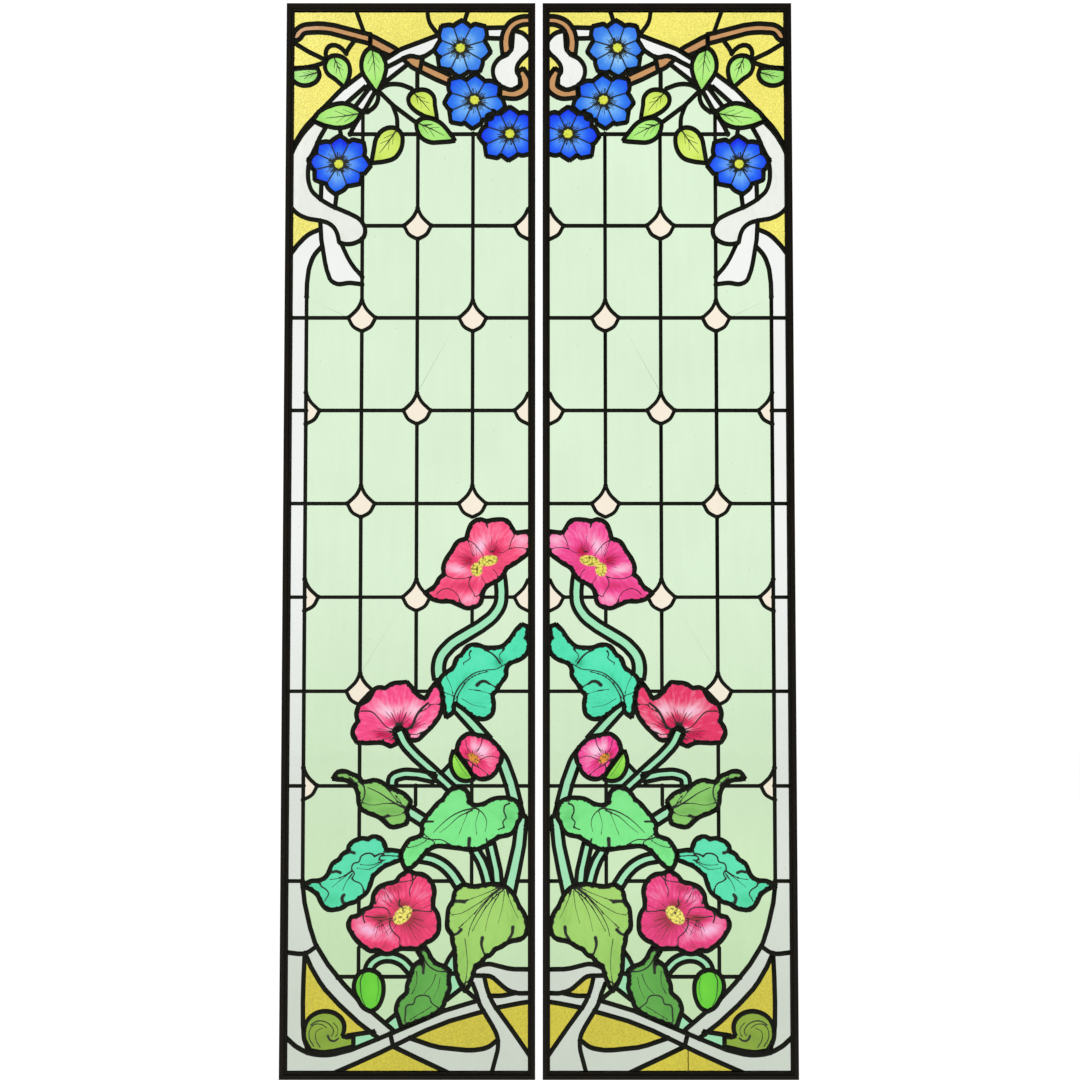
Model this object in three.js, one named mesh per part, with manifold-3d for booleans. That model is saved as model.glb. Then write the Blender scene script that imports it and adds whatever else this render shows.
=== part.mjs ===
// A pair of tall leaded glass leaves that make one window: clematis, poppies, leaves and ribbons
// over a ground of pale quarries, each leaf in a thin channel frame. Millimetres, +Z up.
// The front faces -Y. The origin is at the middle of the foot, half way through the glass.
import * as THREE from "three";
import { mergeVertices } from "three/addons/utils/BufferGeometryUtils.js";
import Module from "manifold-3d";

const wasm = await Module();
wasm.setup();

// Leaf and frame
const leafWidth = 480;
const leafHeight = 2050;
const leafGap = 14;
const frameFace = 14;
const frameDepth = 18;
const stepFace = 5; // inner part of the frame's face, set back from the outer part
const stepDepth = 12;
const groove = 6; // how far the panel reaches into the frame
const fitGap = 0.3;

// Glass and lead
const glassThickness = 3;
const leadFace = 6.5;
const leadDepth = 7;

// Lattice of quarries: columns and rows counted from the border lead and the top row
const borderWidth = 27;
const topRow = 240; // from the top of the sight down to the first row
const rowPitch = 178.3;
const columns = 4;
const diamondReach = 25;
const diamondRise = 34;
const diamondDrop = 27;

// The cartoon is drawn to the sight of one leaf, outer edge at the left, foot at the bottom
const cartoon = { left: 14, right: 464, foot: 16, top: 2036 };
const sightWidth = leafWidth - 2 * frameFace;
const sightHeight = leafHeight - 2 * frameFace;
const across = sightWidth / (cartoon.right - cartoon.left);
const upward = sightHeight / (cartoon.top - cartoon.foot);
const columnPitch = (sightWidth - borderWidth) / columns;
const panelEdge = frameFace - groove + fitGap;
const panelEdges = [panelEdge, leafWidth - panelEdge, panelEdge, leafHeight - panelEdge];

const colours = {
  frame: 0x1e180e,
  lead: 0x1c200a,
  blue: 0x3c78f0,
  leaf: 0xa8e676,
  lime: 0xcbe05a,
  poppy: 0xf0406e,
  rose: 0xf8548a,
  teal: 0x56dcb0,
  green: 0x86d870,
  moss: 0x4e9a38,
  pod: 0x58c31a,
  brown: 0xc49460,
  white: 0xe4e8e0,
};

// A cartoon point as a place on the leaf, in millimetres from the leaf's outer foot corner
function place([u, z]) {
  return new THREE.Vector2(
    frameFace + (u - cartoon.left) * across,
    frameFace + (z - cartoon.foot) * upward,
  );
}

function columnAt(index) {
  return frameFace + borderWidth + index * columnPitch;
}

function rowAt(index) {
  return leafHeight - frameFace - topRow - index * rowPitch;
}

// Solids
function solidOf(geometry) {
  geometry.deleteAttribute("normal");
  geometry.deleteAttribute("uv");
  const merged = mergeVertices(geometry, 1e-4);
  return new wasm.Manifold(
    new wasm.Mesh({
      numProp: 3,
      vertProperties: merged.attributes.position.array,
      triVerts: new Uint32Array(merged.index.array),
    }),
  );
}

// A flat outline given a thickness: its back and front are measured forward from mid-glass
function plate(points, back, front) {
  const geometry = new THREE.ExtrudeGeometry(new THREE.Shape(points), {
    depth: front - back,
    bevelEnabled: false,
  });
  geometry.translate(0, 0, back);
  geometry.rotateX(Math.PI / 2);
  return solidOf(geometry);
}

function block(left, right, foot, top, thickness) {
  const geometry = new THREE.BoxGeometry(right - left, thickness, top - foot);
  geometry.translate((left + right) / 2, 0, (foot + top) / 2);
  return solidOf(geometry);
}

// The sight of one leaf, drawn in by a margin
function sightBlock(margin, thickness) {
  const edge = frameFace + margin;
  return block(edge, leafWidth - edge, edge, leafHeight - edge, thickness);
}

function meshOf(solid, name, colour, roughness, metalness) {
  const { vertProperties, triVerts } = solid.getMesh();
  const geometry = new THREE.BufferGeometry();
  geometry.setAttribute("position", new THREE.BufferAttribute(vertProperties, 3));
  geometry.setIndex(new THREE.BufferAttribute(triVerts, 1));
  const flat = geometry.toNonIndexed();
  flat.computeVertexNormals();
  const material = new THREE.MeshStandardMaterial({ color: colour, roughness, metalness });
  const mesh = new THREE.Mesh(flat, material);
  mesh.name = name;
  return mesh;
}

// Outlines
function counterClockwise(points) {
  return THREE.ShapeUtils.isClockWise(points) ? points.slice().reverse() : points;
}

// An outline moved outwards by a distance, or inwards by a negative one
function grown(points, distance) {
  const ring = counterClockwise(points);
  return ring.map((here, index) => {
    const before = ring[(index + ring.length - 1) % ring.length];
    const after = ring[(index + 1) % ring.length];
    const inward = here.clone().sub(before).normalize();
    const outward = after.clone().sub(here).normalize();
    const normal = new THREE.Vector2(inward.y + outward.y, -inward.x - outward.x).normalize();
    const spread = Math.max(0.6, normal.dot(new THREE.Vector2(inward.y, -inward.x)));
    return here.clone().addScaledVector(normal, distance / spread);
  });
}

// A band of one width along a line of points, a little longer than the line at both ends
function band(points, width, overrun) {
  const line = points.map((point) => point.clone());
  const last = line.length - 1;
  const start = line[0].clone().sub(line[1]).setLength(overrun);
  const end = line[last].clone().sub(line[last - 1]).setLength(overrun);
  line[0].add(start);
  line[last].add(end);
  const left = [];
  const right = [];
  line.forEach((here, index) => {
    const before = line[Math.max(index - 1, 0)];
    const after = line[Math.min(index + 1, last)];
    const along = after.clone().sub(before).normalize();
    const side = new THREE.Vector2(-along.y, along.x).multiplyScalar(width / 2);
    left.push(here.clone().add(side));
    right.unshift(here.clone().sub(side));
  });
  return counterClockwise([...left, ...right]);
}

// A smooth line through cartoon points, in as many straight steps as asked for
function sweep(points, steps) {
  const placed = points.map(place);
  return steps ? new THREE.SplineCurve(placed).getPoints(steps) : placed;
}

function clematis([u, z], radius, share = 0) {
  const petals = 8;
  const notch = 0.85;
  const edge = Array.from({ length: 2 * petals }, (unused, index) => {
    const reach = index % 2 ? radius * notch : radius;
    const turn = ((index + share) * Math.PI) / petals;
    return place([u + reach * Math.sin(turn), z + reach * Math.cos(turn)]);
  });
  edge.petals = petals;
  return edge;
}

// The lead round a flower runs from petal tip to petal tip and fills the notches between them
function tipsOf(edge) {
  return edge.petals ? edge.filter((unused, index) => index % 2 === 0) : edge;
}

// A pointed leaf blade from its stalk to its tip
function blade(stalk, tip, width) {
  const from = place(stalk);
  const axis = place(tip).sub(from);
  const side = new THREE.Vector2(-axis.y, axis.x).setLength(width / 2);
  const stations = [0.28, 0.68];
  const fullness = [0.96, 0.84];
  const edge = (sign) =>
    stations.map((share, index) =>
      from.clone().addScaledVector(axis, share).addScaledVector(side, sign * fullness[index]),
    );
  return [from, ...edge(1), from.clone().add(axis), ...edge(-1).reverse()];
}

function egg([u, z], halfWidth, halfHeight) {
  const sides = 8;
  return Array.from({ length: sides }, (unused, index) => {
    const turn = (2 * index * Math.PI) / sides;
    return place([u + halfWidth * Math.cos(turn), z + halfHeight * Math.sin(turn)]);
  });
}

// A curled frond: most of a circle, run out into a stalk
function frond([u, z], radius, stalk) {
  const first = -0.32 * Math.PI;
  const sweepAngle = 1.72 * Math.PI;
  const sides = 9;
  const curl = Array.from({ length: sides }, (unused, index) => {
    const turn = first - (sweepAngle * index) / (sides - 1);
    return place([u + radius * Math.cos(turn), z + radius * Math.sin(turn)]);
  });
  return [...curl, ...stalk.map(place)];
}

// The glass that is cut to a shape: name, colour and the edge that shows
const shaped = [
  ["clematis_high", "blue", clematis([334, 1964], 51)],
  ["clematis_middle", "blue", clematis([361, 1865], 51, 1)],
  ["clematis_edge", "blue", clematis([426, 1795], 51, 1)],
  ["clematis_outer", "blue", clematis([101, 1738], 55)],
  ["leaf_border", "leaf", sweep([[8, 1921], [58, 1922], [46, 1898], [22, 1896], [8, 1905]])],
  ["leaf_by_branch", "leaf", blade([90, 1949], [111, 1892], 37)],
  ["leaf_on_ribbon", "leaf", blade([163, 1964], [172, 1881], 40)],
  ["leaf_under_ribbon", "leaf", blade([141, 1837], [55, 1824], 37)],
  ["leaf_lime_high", "lime", blade([244, 1880], [285, 1828], 37)],
  ["leaf_by_clematis", "leaf", blade([251, 1819], [318, 1785], 33)],
  ["leaf_lime_low", "lime", blade([206, 1806], [168, 1744], 40)],
  [
    "poppy_high",
    "poppy",
    sweep([
      [352, 1038], [378, 1048], [422, 1047], [440, 1024], [464, 1026], [464, 996], [404, 942],
      [373, 896], [350, 887], [275, 911], [307, 951], [324, 1000],
    ]),
  ],
  [
    "poppy_side",
    "rose",
    sweep([
      [149, 702], [179, 730], [234, 740], [272, 707], [290, 737], [298, 689], [250, 635],
      [210, 624], [160, 632], [137, 646],
    ]),
  ],
  [
    "poppy_bud",
    "poppy",
    sweep([[352, 643], [381, 639], [411, 609], [394, 567], [374, 563], [355, 583], [332, 618]]),
  ],
  ["bud_sepal", "green", sweep([[324, 606], [358, 564], [336, 562], [324, 578]])],
  [
    "poppy_low",
    "poppy",
    sweep([
      [131, 291], [172, 320], [192, 358], [218, 366], [240, 384], [278, 371], [282, 317],
      [293, 298], [272, 254], [195, 235], [150, 256],
    ]),
  ],
  [
    "leaf_teal_high",
    "teal",
    sweep([
      [297, 744], [326, 772], [352, 808], [410, 808], [451, 849], [464, 842], [452, 793],
      [419, 775], [394, 721], [390, 680], [371, 678], [334, 703], [308, 682],
    ]),
  ],
  [
    "leaf_olive",
    "green",
    sweep([
      [102, 564], [118, 572], [154, 553], [186, 553], [240, 516], [232, 479], [208, 475],
      [150, 507], [150, 536],
    ]),
  ],
  [
    "leaf_bright",
    "green",
    sweep([
      [278, 491], [307, 523], [339, 540], [356, 508], [429, 521], [446, 500], [436, 466],
      [378, 437], [288, 437], [237, 395], [230, 410], [243, 440],
    ]),
  ],
  [
    "leaf_teal_low",
    "teal",
    sweep([
      [48, 362], [84, 372], [99, 398], [134, 438], [179, 448], [194, 422], [221, 421],
      [221, 411], [184, 396], [146, 340], [96, 320], [77, 333],
    ]),
  ],
  [
    "leaf_veined",
    "green",
    sweep([
      [320, 342], [339, 358], [426, 358], [454, 307], [458, 272], [403, 246], [365, 214],
      [347, 170], [317, 290],
    ]),
  ],
  [
    "leaf_dark",
    "moss",
    sweep([
      [261, 236], [274, 240], [314, 202], [304, 134], [230, 103], [222, 128], [246, 198],
    ]),
  ],
  ["seed_pod", "pod", egg([166, 165], 24, 34)],
  ["curled_frond", "moss", frond([84, 91], 34, [[112, 78], [134, 66]])],
  [
    "ribbon_outer",
    "white",
    sweep([
      [62, 1790], [34, 1784], [16, 1757], [16, 1660], [29, 1642], [95, 1619], [111, 1587],
      [144, 1600], [128, 1630], [64, 1660], [38, 1720],
    ]),
  ],
  [
    "ribbon_knot",
    "white",
    sweep([
      [435, 1994], [464, 1974], [464, 1960], [438, 1928], [446, 1901], [428, 1887], [402, 1906],
      [428, 1950],
    ]),
  ],
  ["branch_long", "brown", band(sweep([[15, 1992], [30, 2003], [90, 2003], [156, 1983]], 4), 9, 0)],
  ["branch_short", "brown", sweep([[164, 1983], [207, 1960], [198, 1954], [164, 1968]])],
];

// Lead lines of the ornament: cartoon points and the straight steps of a curved one
const ornamentLeads = [
  // Ribbon and arc at the head
  [[[10, 1760], [38, 1812], [80, 1857], [146, 1915]]],
  [[[192, 1944], [288, 1989]]],
  [[[190, 1925], [224, 1944], [256, 1946], [286, 1961]]],
  [[[187, 1897], [229, 1929]]],
  [[[112, 1856], [150, 1889]]],
  [[[131, 2040], [146, 1996]]],
  [[[270, 2040], [288, 1992]]],
  [[[372, 2005], [424, 2005]]],
  [[[10, 1977], [77, 1940]]],
  [[[10, 1924], [80, 1938]]],
  [[[424, 1955], [420, 1985], [433, 2013], [468, 2020]]],
  [[[434, 1988], [448, 2008], [468, 2004]]],
  [[[412, 1871], [448, 1870], [468, 1888]]],
  [[[238, 1945], [306, 1909]]],
  [[[231, 1934], [304, 1897]]],
  [[[175, 1882], [218, 1894], [240, 1885]]],
  [[[175, 1882], [250, 1818]]],
  [[[203, 1854], [213, 1808]]],
  // Ribbon, tail and yellow corner at the outer edge
  [[[10, 1562], [48, 1601], [66, 1608]]],
  [[[66, 1630], [68, 1580], [93, 1506], [148, 1505]]],
  [[[109, 1583], [148, 1513]]],
  [[[69, 1575], [44, 1530], [41, 1475]], 2],
  // Stems
  [[[404, 940], [405, 884], [330, 829], [296, 800], [286, 740]]],
  [[[421, 950], [421, 878], [345, 818], [312, 795], [304, 762]]],
  [[[212, 632], [300, 548]]],
  [[[232, 655], [324, 547]]],
  [[[198, 548], [198, 563], [222, 576], [290, 570]]],
  [[[336, 702], [395, 642]]],
  [[[409, 588], [427, 520]]],
  [[[421, 598], [441, 555], [450, 480], [424, 356]]],
  [[[464, 490], [440, 355]]],
  [[[234, 488], [266, 470]]],
  [[[262, 410], [304, 392], [330, 362]], 2],
  [[[268, 424], [314, 406], [342, 362]], 2],
  [[[364, 434], [384, 366]]],
  [[[392, 434], [403, 366]]],
  [[[404, 446], [415, 366]]],
  // Foot bands and ribbon
  [[[41, 352], [67, 250], [138, 157], [210, 90]]],
  [[[45, 230], [106, 144], [184, 80]], 2],
  [[[10, 235], [50, 235], [66, 247]]],
  [[[45, 232], [45, 96], [56, 56]]],
  [[[10, 76], [58, 48], [141, 58], [256, 106], [368, 146]]],
  [[[104, 14], [208, 59], [374, 127]]],
  [[[246, 76], [320, 58], [406, 64]]],
  [[[216, 58], [316, 14]]],
  [[[365, 178], [374, 134], [404, 88], [397, 12]]],
  [[[383, 190], [404, 136], [466, 52]]],
  [[[360, 200], [400, 215], [466, 205]]],
  [[[360, 192], [400, 190], [438, 162], [468, 161]]],
  [[[166, 202], [205, 232], [248, 202]], 2],
];

// Stretches of the lattice that the ornament leaves: column or row, from and to in the cartoon
const columnStretches = [
  [0, 1480, 345], [1, 1842, 1792], [1, 1720, 1473], [1, 1412, 1117], [1, 1055, 760],
  [1, 628, 565], [1, 505, 452], [1, 333, 300], [1, 245, 200], [2, 1919, 1890],
  [2, 1800, 1651], [2, 1591, 1295], [2, 1234, 938], [2, 877, 726], [2, 548, 512],
  [3, 1796, 1473], [3, 1412, 1117], [3, 886, 840], [3, 562, 510], [3, 437, 360],
];
const rowStretches = [
  [0, 122, 150], [0, 147, 181], [0, 219, 254], [0, 312, 372], [1, 147, 228], [1, 277, 441],
  [2, 10, 122], [2, 171, 334], [2, 383, 468], [3, 10, 41], [3, 65, 228], [3, 277, 441],
  [4, 10, 122], [4, 171, 334], [4, 383, 468], [5, 10, 41], [5, 65, 228], [5, 376, 406],
  [5, 424, 441], [6, 10, 122], [6, 252, 288], [6, 400, 468], [7, 10, 41], [7, 65, 140],
  [7, 198, 310], [7, 320, 434], [7, 448, 468], [8, 10, 41], [8, 288, 330], [8, 444, 468],
  [9, 112, 140], [9, 192, 240],
];
// Crossings with a small inset diamond: column and row, and the side that is left out
const diamonds = [
  [2, 1], [4, 1], [1, 2], [3, 2], [0, 3, "left"], [2, 3], [4, 3], [1, 4], [3, 4],
  [0, 5, "left"], [2, 5], [4, 5], [1, 6], [0, 7, "left"],
];

// An inset diamond with a pointed top and a bowl below, or its inner half beside the border lead
function diamond([column, row, missing]) {
  const x = columnAt(column);
  const z = rowAt(row);
  const bowl = 0.5 * diamondReach;
  const right = [
    [0, diamondRise],
    [diamondReach, 0],
    [bowl, -diamondDrop],
  ];
  const left = [
    [-bowl, -diamondDrop],
    [-diamondReach, 0],
  ];
  const outline = missing ? [...right, [0, -diamondDrop]] : [...right, ...left];
  return outline.map(([over, up]) => new THREE.Vector2(x + over, z + up));
}

// The leadwork of one leaf with the panes of its ground, which are cemented into it
function leadedGround() {
  const lines = ornamentLeads.map(([points, steps]) => sweep(points, steps));
  for (const [column, from, to] of columnStretches) {
    const x = columnAt(column);
    lines.push([new THREE.Vector2(x, place([0, from]).y), new THREE.Vector2(x, place([0, to]).y)]);
  }
  for (const [row, from, to] of rowStretches) {
    const z = rowAt(row);
    lines.push([new THREE.Vector2(place([from, 0]).x, z), new THREE.Vector2(place([to, 0]).x, z)]);
  }
  const proud = leadDepth / 2;
  const back = glassThickness / 2;
  const panel = block(...panelEdges, 2 * proud);
  const leads = lines.map((line) => plate(band(line, leadFace, leadFace / 10), 0, proud));
  const rims = shaped.map(([, , edge]) => plate(grown(tipsOf(edge), leadFace), 0, proud));
  const insets = diamonds.map(diamond);
  const insetRims = insets.map((edge) => plate(grown(edge, leadFace / 2), 0, proud));
  const pockets = insets.map((edge) => plate(grown(edge, -leadFace / 2), back, leadDepth));
  const holes = shaped.map(([, , edge]) => plate(counterClockwise(edge), -leadDepth, leadDepth));
  return wasm.Manifold.union([...leads, ...insetRims])
    .subtract(wasm.Manifold.union(pockets))
    .add(wasm.Manifold.union(rims))
    .intersect(panel)
    .add(block(...panelEdges, glassThickness))
    .subtract(wasm.Manifold.union(holes).intersect(sightBlock(0, 4 * leadDepth)));
}

// A channel frame: an outer ring with a lower step inside it, grooved for the panel
function channelFrame() {
  const outer = block(0, leafWidth, 0, leafHeight, frameDepth);
  const wide = frameFace - stepFace;
  const inside = [wide, leafWidth - wide, wide, leafHeight - wide];
  const deep = frameFace - groove;
  const slot = [deep, leafWidth - deep, deep, leafHeight - deep];
  return outer
    .subtract(block(...inside, 2 * frameDepth))
    .add(block(...inside, stepDepth))
    .subtract(sightBlock(0, 2 * frameDepth))
    .subtract(block(...slot, leadDepth + 2 * fitGap));
}

function shapedGlass(edge) {
  const half = glassThickness / 2;
  return plate(grown(edge, -fitGap), -half, half).intersect(sightBlock(fitGap, leadDepth));
}

function leaf(side) {
  const group = new THREE.Group();
  group.add(meshOf(channelFrame(), `${side}_frame`, colours.frame, 0.6, 0.5));
  group.add(meshOf(leadedGround(), `${side}_leadwork`, colours.lead, 0.6, 0.6));
  for (const [name, colour, outline] of shaped) {
    group.add(meshOf(shapedGlass(outline), `${side}_${name}`, colours[colour], 0.1, 0));
  }
  return group;
}

const window = new THREE.Group();
const left = leaf("left");
left.position.x = -leafGap / 2 - leafWidth;
const right = leaf("right");
right.scale.x = -1;
right.position.x = leafGap / 2 + leafWidth;
window.add(left, right);

export default window;
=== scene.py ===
# A pair of leaded and painted glass leaves. Metres, the front faces -Y.
import math
import bmesh
import bpy
import numpy as np
from mathutils import Matrix, Vector
from mathutils.geometry import delaunay_2d_cdt, interpolate_bezier


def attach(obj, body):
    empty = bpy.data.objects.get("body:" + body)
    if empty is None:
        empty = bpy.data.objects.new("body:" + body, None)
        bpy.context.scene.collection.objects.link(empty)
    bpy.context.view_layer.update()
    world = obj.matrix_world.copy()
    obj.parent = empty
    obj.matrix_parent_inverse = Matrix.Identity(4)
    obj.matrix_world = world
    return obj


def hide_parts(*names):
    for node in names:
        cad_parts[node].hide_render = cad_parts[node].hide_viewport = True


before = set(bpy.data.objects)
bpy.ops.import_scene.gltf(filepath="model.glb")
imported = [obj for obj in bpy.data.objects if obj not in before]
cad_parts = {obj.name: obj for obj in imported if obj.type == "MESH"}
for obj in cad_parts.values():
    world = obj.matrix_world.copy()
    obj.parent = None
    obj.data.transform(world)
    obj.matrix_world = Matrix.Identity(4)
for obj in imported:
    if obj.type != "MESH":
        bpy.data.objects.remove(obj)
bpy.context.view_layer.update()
scene = bpy.context.scene
print("stage: frame loaded")

# The cartoon of one leaf is in millimetres: u from the outer edge, z from the foot
leafSizes = {
    "width": 480.0,
    "height": 2050.0,
    "gap": 14.0,
    "frameFace": 14.0,
    "sightLeft": 14.0,
    "sightRight": 464.0,
    "sightFoot": 16.0,
    "sightTop": 2036.0,
    "underFrame": 5.0,
    "glass": 3.0,
}


def placed(u, z, y=0.0):
    # a cartoon point on the left leaf, in metres; y is in millimetres, towards the back
    s = leafSizes
    across = (s["width"] - 2 * s["frameFace"]) / (s["sightRight"] - s["sightLeft"])
    upward = (s["height"] - 2 * s["frameFace"]) / (s["sightTop"] - s["sightFoot"])
    x = -s["gap"] / 2 - s["width"] + s["frameFace"] + (u - s["sightLeft"]) * across
    return Vector((x, y, s["frameFace"] + (z - s["sightFoot"]) * upward)) / 1000


# Lines of the cartoon
def sidesOf(ring):
    # each corner of a ring with the next one
    return zip(ring, ring[1:] + ring[:1])


def arrayOf(points):
    return np.array([[p.x, p.y] for p in points])


def polar(centre, reach, way):
    # the point at a reach and a turn in radians from a centre
    return (centre[0] + reach * math.cos(way), centre[1] + reach * math.sin(way))


def curved(run, step):
    # a smooth line through the points of one run, in short straight steps
    points = [Vector((p[0], p[1], 0)) for p in run]
    if len(points) == 2:
        return [p.xy for p in points]
    ways = []
    for i in range(len(points)):
        before = points[max(i - 1, 0)]
        here = points[i]
        after = points[min(i + 1, len(points) - 1)]
        a, b = here - before, after - here
        if a.length < 1e-6:
            a = b
        if b.length < 1e-6:
            b = a
        ways.append((a.normalized() * b.length + b.normalized() * a.length).normalized())
    made = []
    for i in range(len(points) - 1):
        reach = (points[i + 1] - points[i]).length
        count = max(2, round(reach / step) + 1)
        bend = interpolate_bezier(
            points[i],
            points[i] + ways[i] * reach / 3,
            points[i + 1] - ways[i + 1] * reach / 3,
            points[i + 1],
            count,
        )
        made += [p.xy for p in bend[:-1]]
    return made + [points[-1].xy]


def turnAt(before, here, after):
    a = Vector(here) - Vector(before)
    b = Vector(after) - Vector(here)
    if a.length < 1e-6 or b.length < 1e-6:
        return 0.0
    return math.degrees(a.angle(b))


def smoothed(points, step=5.0, corner=48.0, closed=False):
    # runs of smooth line between the sharp corners of an outline or an open line
    ring = [tuple(p) for p in points]
    count = len(ring)
    if closed:
        sharp = [
            i for i in range(count) if turnAt(ring[i - 1], ring[i], ring[(i + 1) % count]) > corner
        ]
        if not sharp:
            loop = curved(ring[-2:] + ring + ring[:3], step)
            start = min(range(len(loop)), key=lambda i: (loop[i] - Vector(ring[0])).length)
            half = len(loop) // 2
            end = max(
                (i for i in range(half, len(loop)) if (loop[i] - Vector(ring[0])).length < 1e-3),
                default=len(loop) - 1,
            )
            return [loop[start:end + 1]]
        first = sharp[0]
        ring = ring[first:] + ring[:first + 1]
        sharp = [i - first for i in sharp] + [count]
    else:
        sharp = [0] + [
            i for i in range(1, count - 1) if turnAt(ring[i - 1], ring[i], ring[i + 1]) > corner
        ] + [count - 1]
    return [curved(ring[a:b + 1], step) for a, b in zip(sharp[:-1], sharp[1:])]


def joinedUp(runs):
    line = list(runs[0])
    for run in runs[1:]:
        line += run[1:]
    return line


def outlineOf(points, step=5.0, corner=48.0):
    ring = joinedUp(smoothed(points, step, corner, closed=True))
    if (ring[0] - ring[-1]).length < 1e-3:
        ring = ring[:-1]
    area = sum(a.x * b.y - b.x * a.y for a, b in sidesOf(ring))
    return ring if area > 0 else ring[::-1]


def grown(ring, distance):
    # an outline moved outwards
    made = []
    for i, here in enumerate(ring):
        a = (here - ring[i - 1]).normalized()
        b = (ring[(i + 1) % len(ring)] - here).normalized()
        normal = Vector((a.y + b.y, -a.x - b.x))
        if normal.length < 1e-6:
            made.append(here.copy())
            continue
        normal.normalize()
        spread = max(0.62, normal.dot(Vector((a.y, -a.x))))
        made.append(here + normal * distance / spread)
    return made


def band(centreLine, width, endWidth):
    # the outline of a strip along a centre-line
    line = curved(centreLine, 5.0)
    left, right = [], []
    for i, here in enumerate(line):
        way = (line[min(i + 1, len(line) - 1)] - line[max(i - 1, 0)]).normalized()
        half = (width + (endWidth - width) * i / (len(line) - 1)) / 2
        side = Vector((-way.y, way.x)) * half
        left.append(here + side)
        right.append(here - side)
    return right + left[::-1]


def insideOf(points, ring):
    # which of many points lie inside an outline
    x, y = points[:, 0], points[:, 1]
    inside = np.zeros(len(points), bool)
    for a, b in sidesOf(ring):
        crosses = (a.y > y) != (b.y > y)
        with np.errstate(divide="ignore", invalid="ignore"):
            at = (b.x - a.x) * (y - a.y) / (b.y - a.y) + a.x
        inside ^= crosses & (x < at)
    return inside


def distanceTo(points, segments):
    # the distance of each point to each segment, and how far along it the nearest place is
    a, b = segments[:, 0], segments[:, 1]
    way = b - a
    size = np.maximum((way ** 2).sum(1), 1e-12)
    offset = points[:, None, :] - a[None]
    along = np.clip((offset * way[None]).sum(2) / size[None], 0, 1)
    nearest = a[None] + along[..., None] * way[None]
    return np.sqrt(((points[:, None, :] - nearest) ** 2).sum(2)), along


def segmentsOf(line, closed=False):
    ends = line[1:] + line[:1] if closed else line[1:]
    return [((a.x, a.y), (b.x, b.y)) for a, b in zip(line, ends)]


# The cartoon: glass cut to a shape
petals = {
    "clematis_high": ((334, 1965), [
        (86, 49), (41, 58), (-8, 53), (-51, 54), (-92, 52), (-136, 51), (-174, 46), (131, 51)]),
    "clematis_middle": ((361, 1863), [
        (88, 46), (32, 51), (-13, 55), (-48, 44), (-94, 51), (-136, 57), (-174, 53), (140, 57)]),
    "clematis_edge": ((429, 1797), [
        (90, 47), (40, 52), (-2, 50), (-43, 51), (-93, 47), (-136, 57), (-175, 55), (141, 51)]),
    "clematis_outer": ((101, 1738), [
        (88, 50), (42, 58), (-3, 56), (-43, 51), (-96, 54), (-146, 50), (173, 54), (136, 52)]),
}


clematisShape = {
    "notch": 0.82,  # of the shorter petal beside it
    "petal": ((-0.36, 0.88), (0.0, 1.02), (0.36, 0.88)),  # turn and reach of shoulders and tip
    "eye": 11,
    "throat": 21,
    "pastNotch": 3,
    "seams": (6.0, 2.4, 2.6),
    "streaks": ((-0.2, 9, 1.1), (-0.02, 15, 1.2), (0.17, 11, 1.1)),  # turn, length and width
    "ring": (11.3, 1.3),
    "stamens": (10.6, 9.6),
}


def petalsOf(tips):
    # each petal's turn and reach, and the turn and reach of the notch after it
    order = sorted(tips)
    made = []
    for (turn, reach), after in sidesOf(order):
        gap = (after[0] - turn) % 360
        low = clematisShape["notch"] * min(reach, after[1])
        made.append((turn, reach, math.radians(turn + gap / 2), low))
    return made


def flowerEdge(name):
    # each petal by its tip and shoulders, with a notch before the next one
    centre, tips = petals[name]
    made = []
    for turn, reach, seam, low in petalsOf(tips):
        for share, size in clematisShape["petal"]:
            made.append(polar(centre, size * reach, math.radians(turn + share * 45)))
        made.append(polar(centre, low, seam))
    right = leafSizes["sightRight"]
    return [(min(u, right + 2.0), z) for u, z in made]


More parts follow.
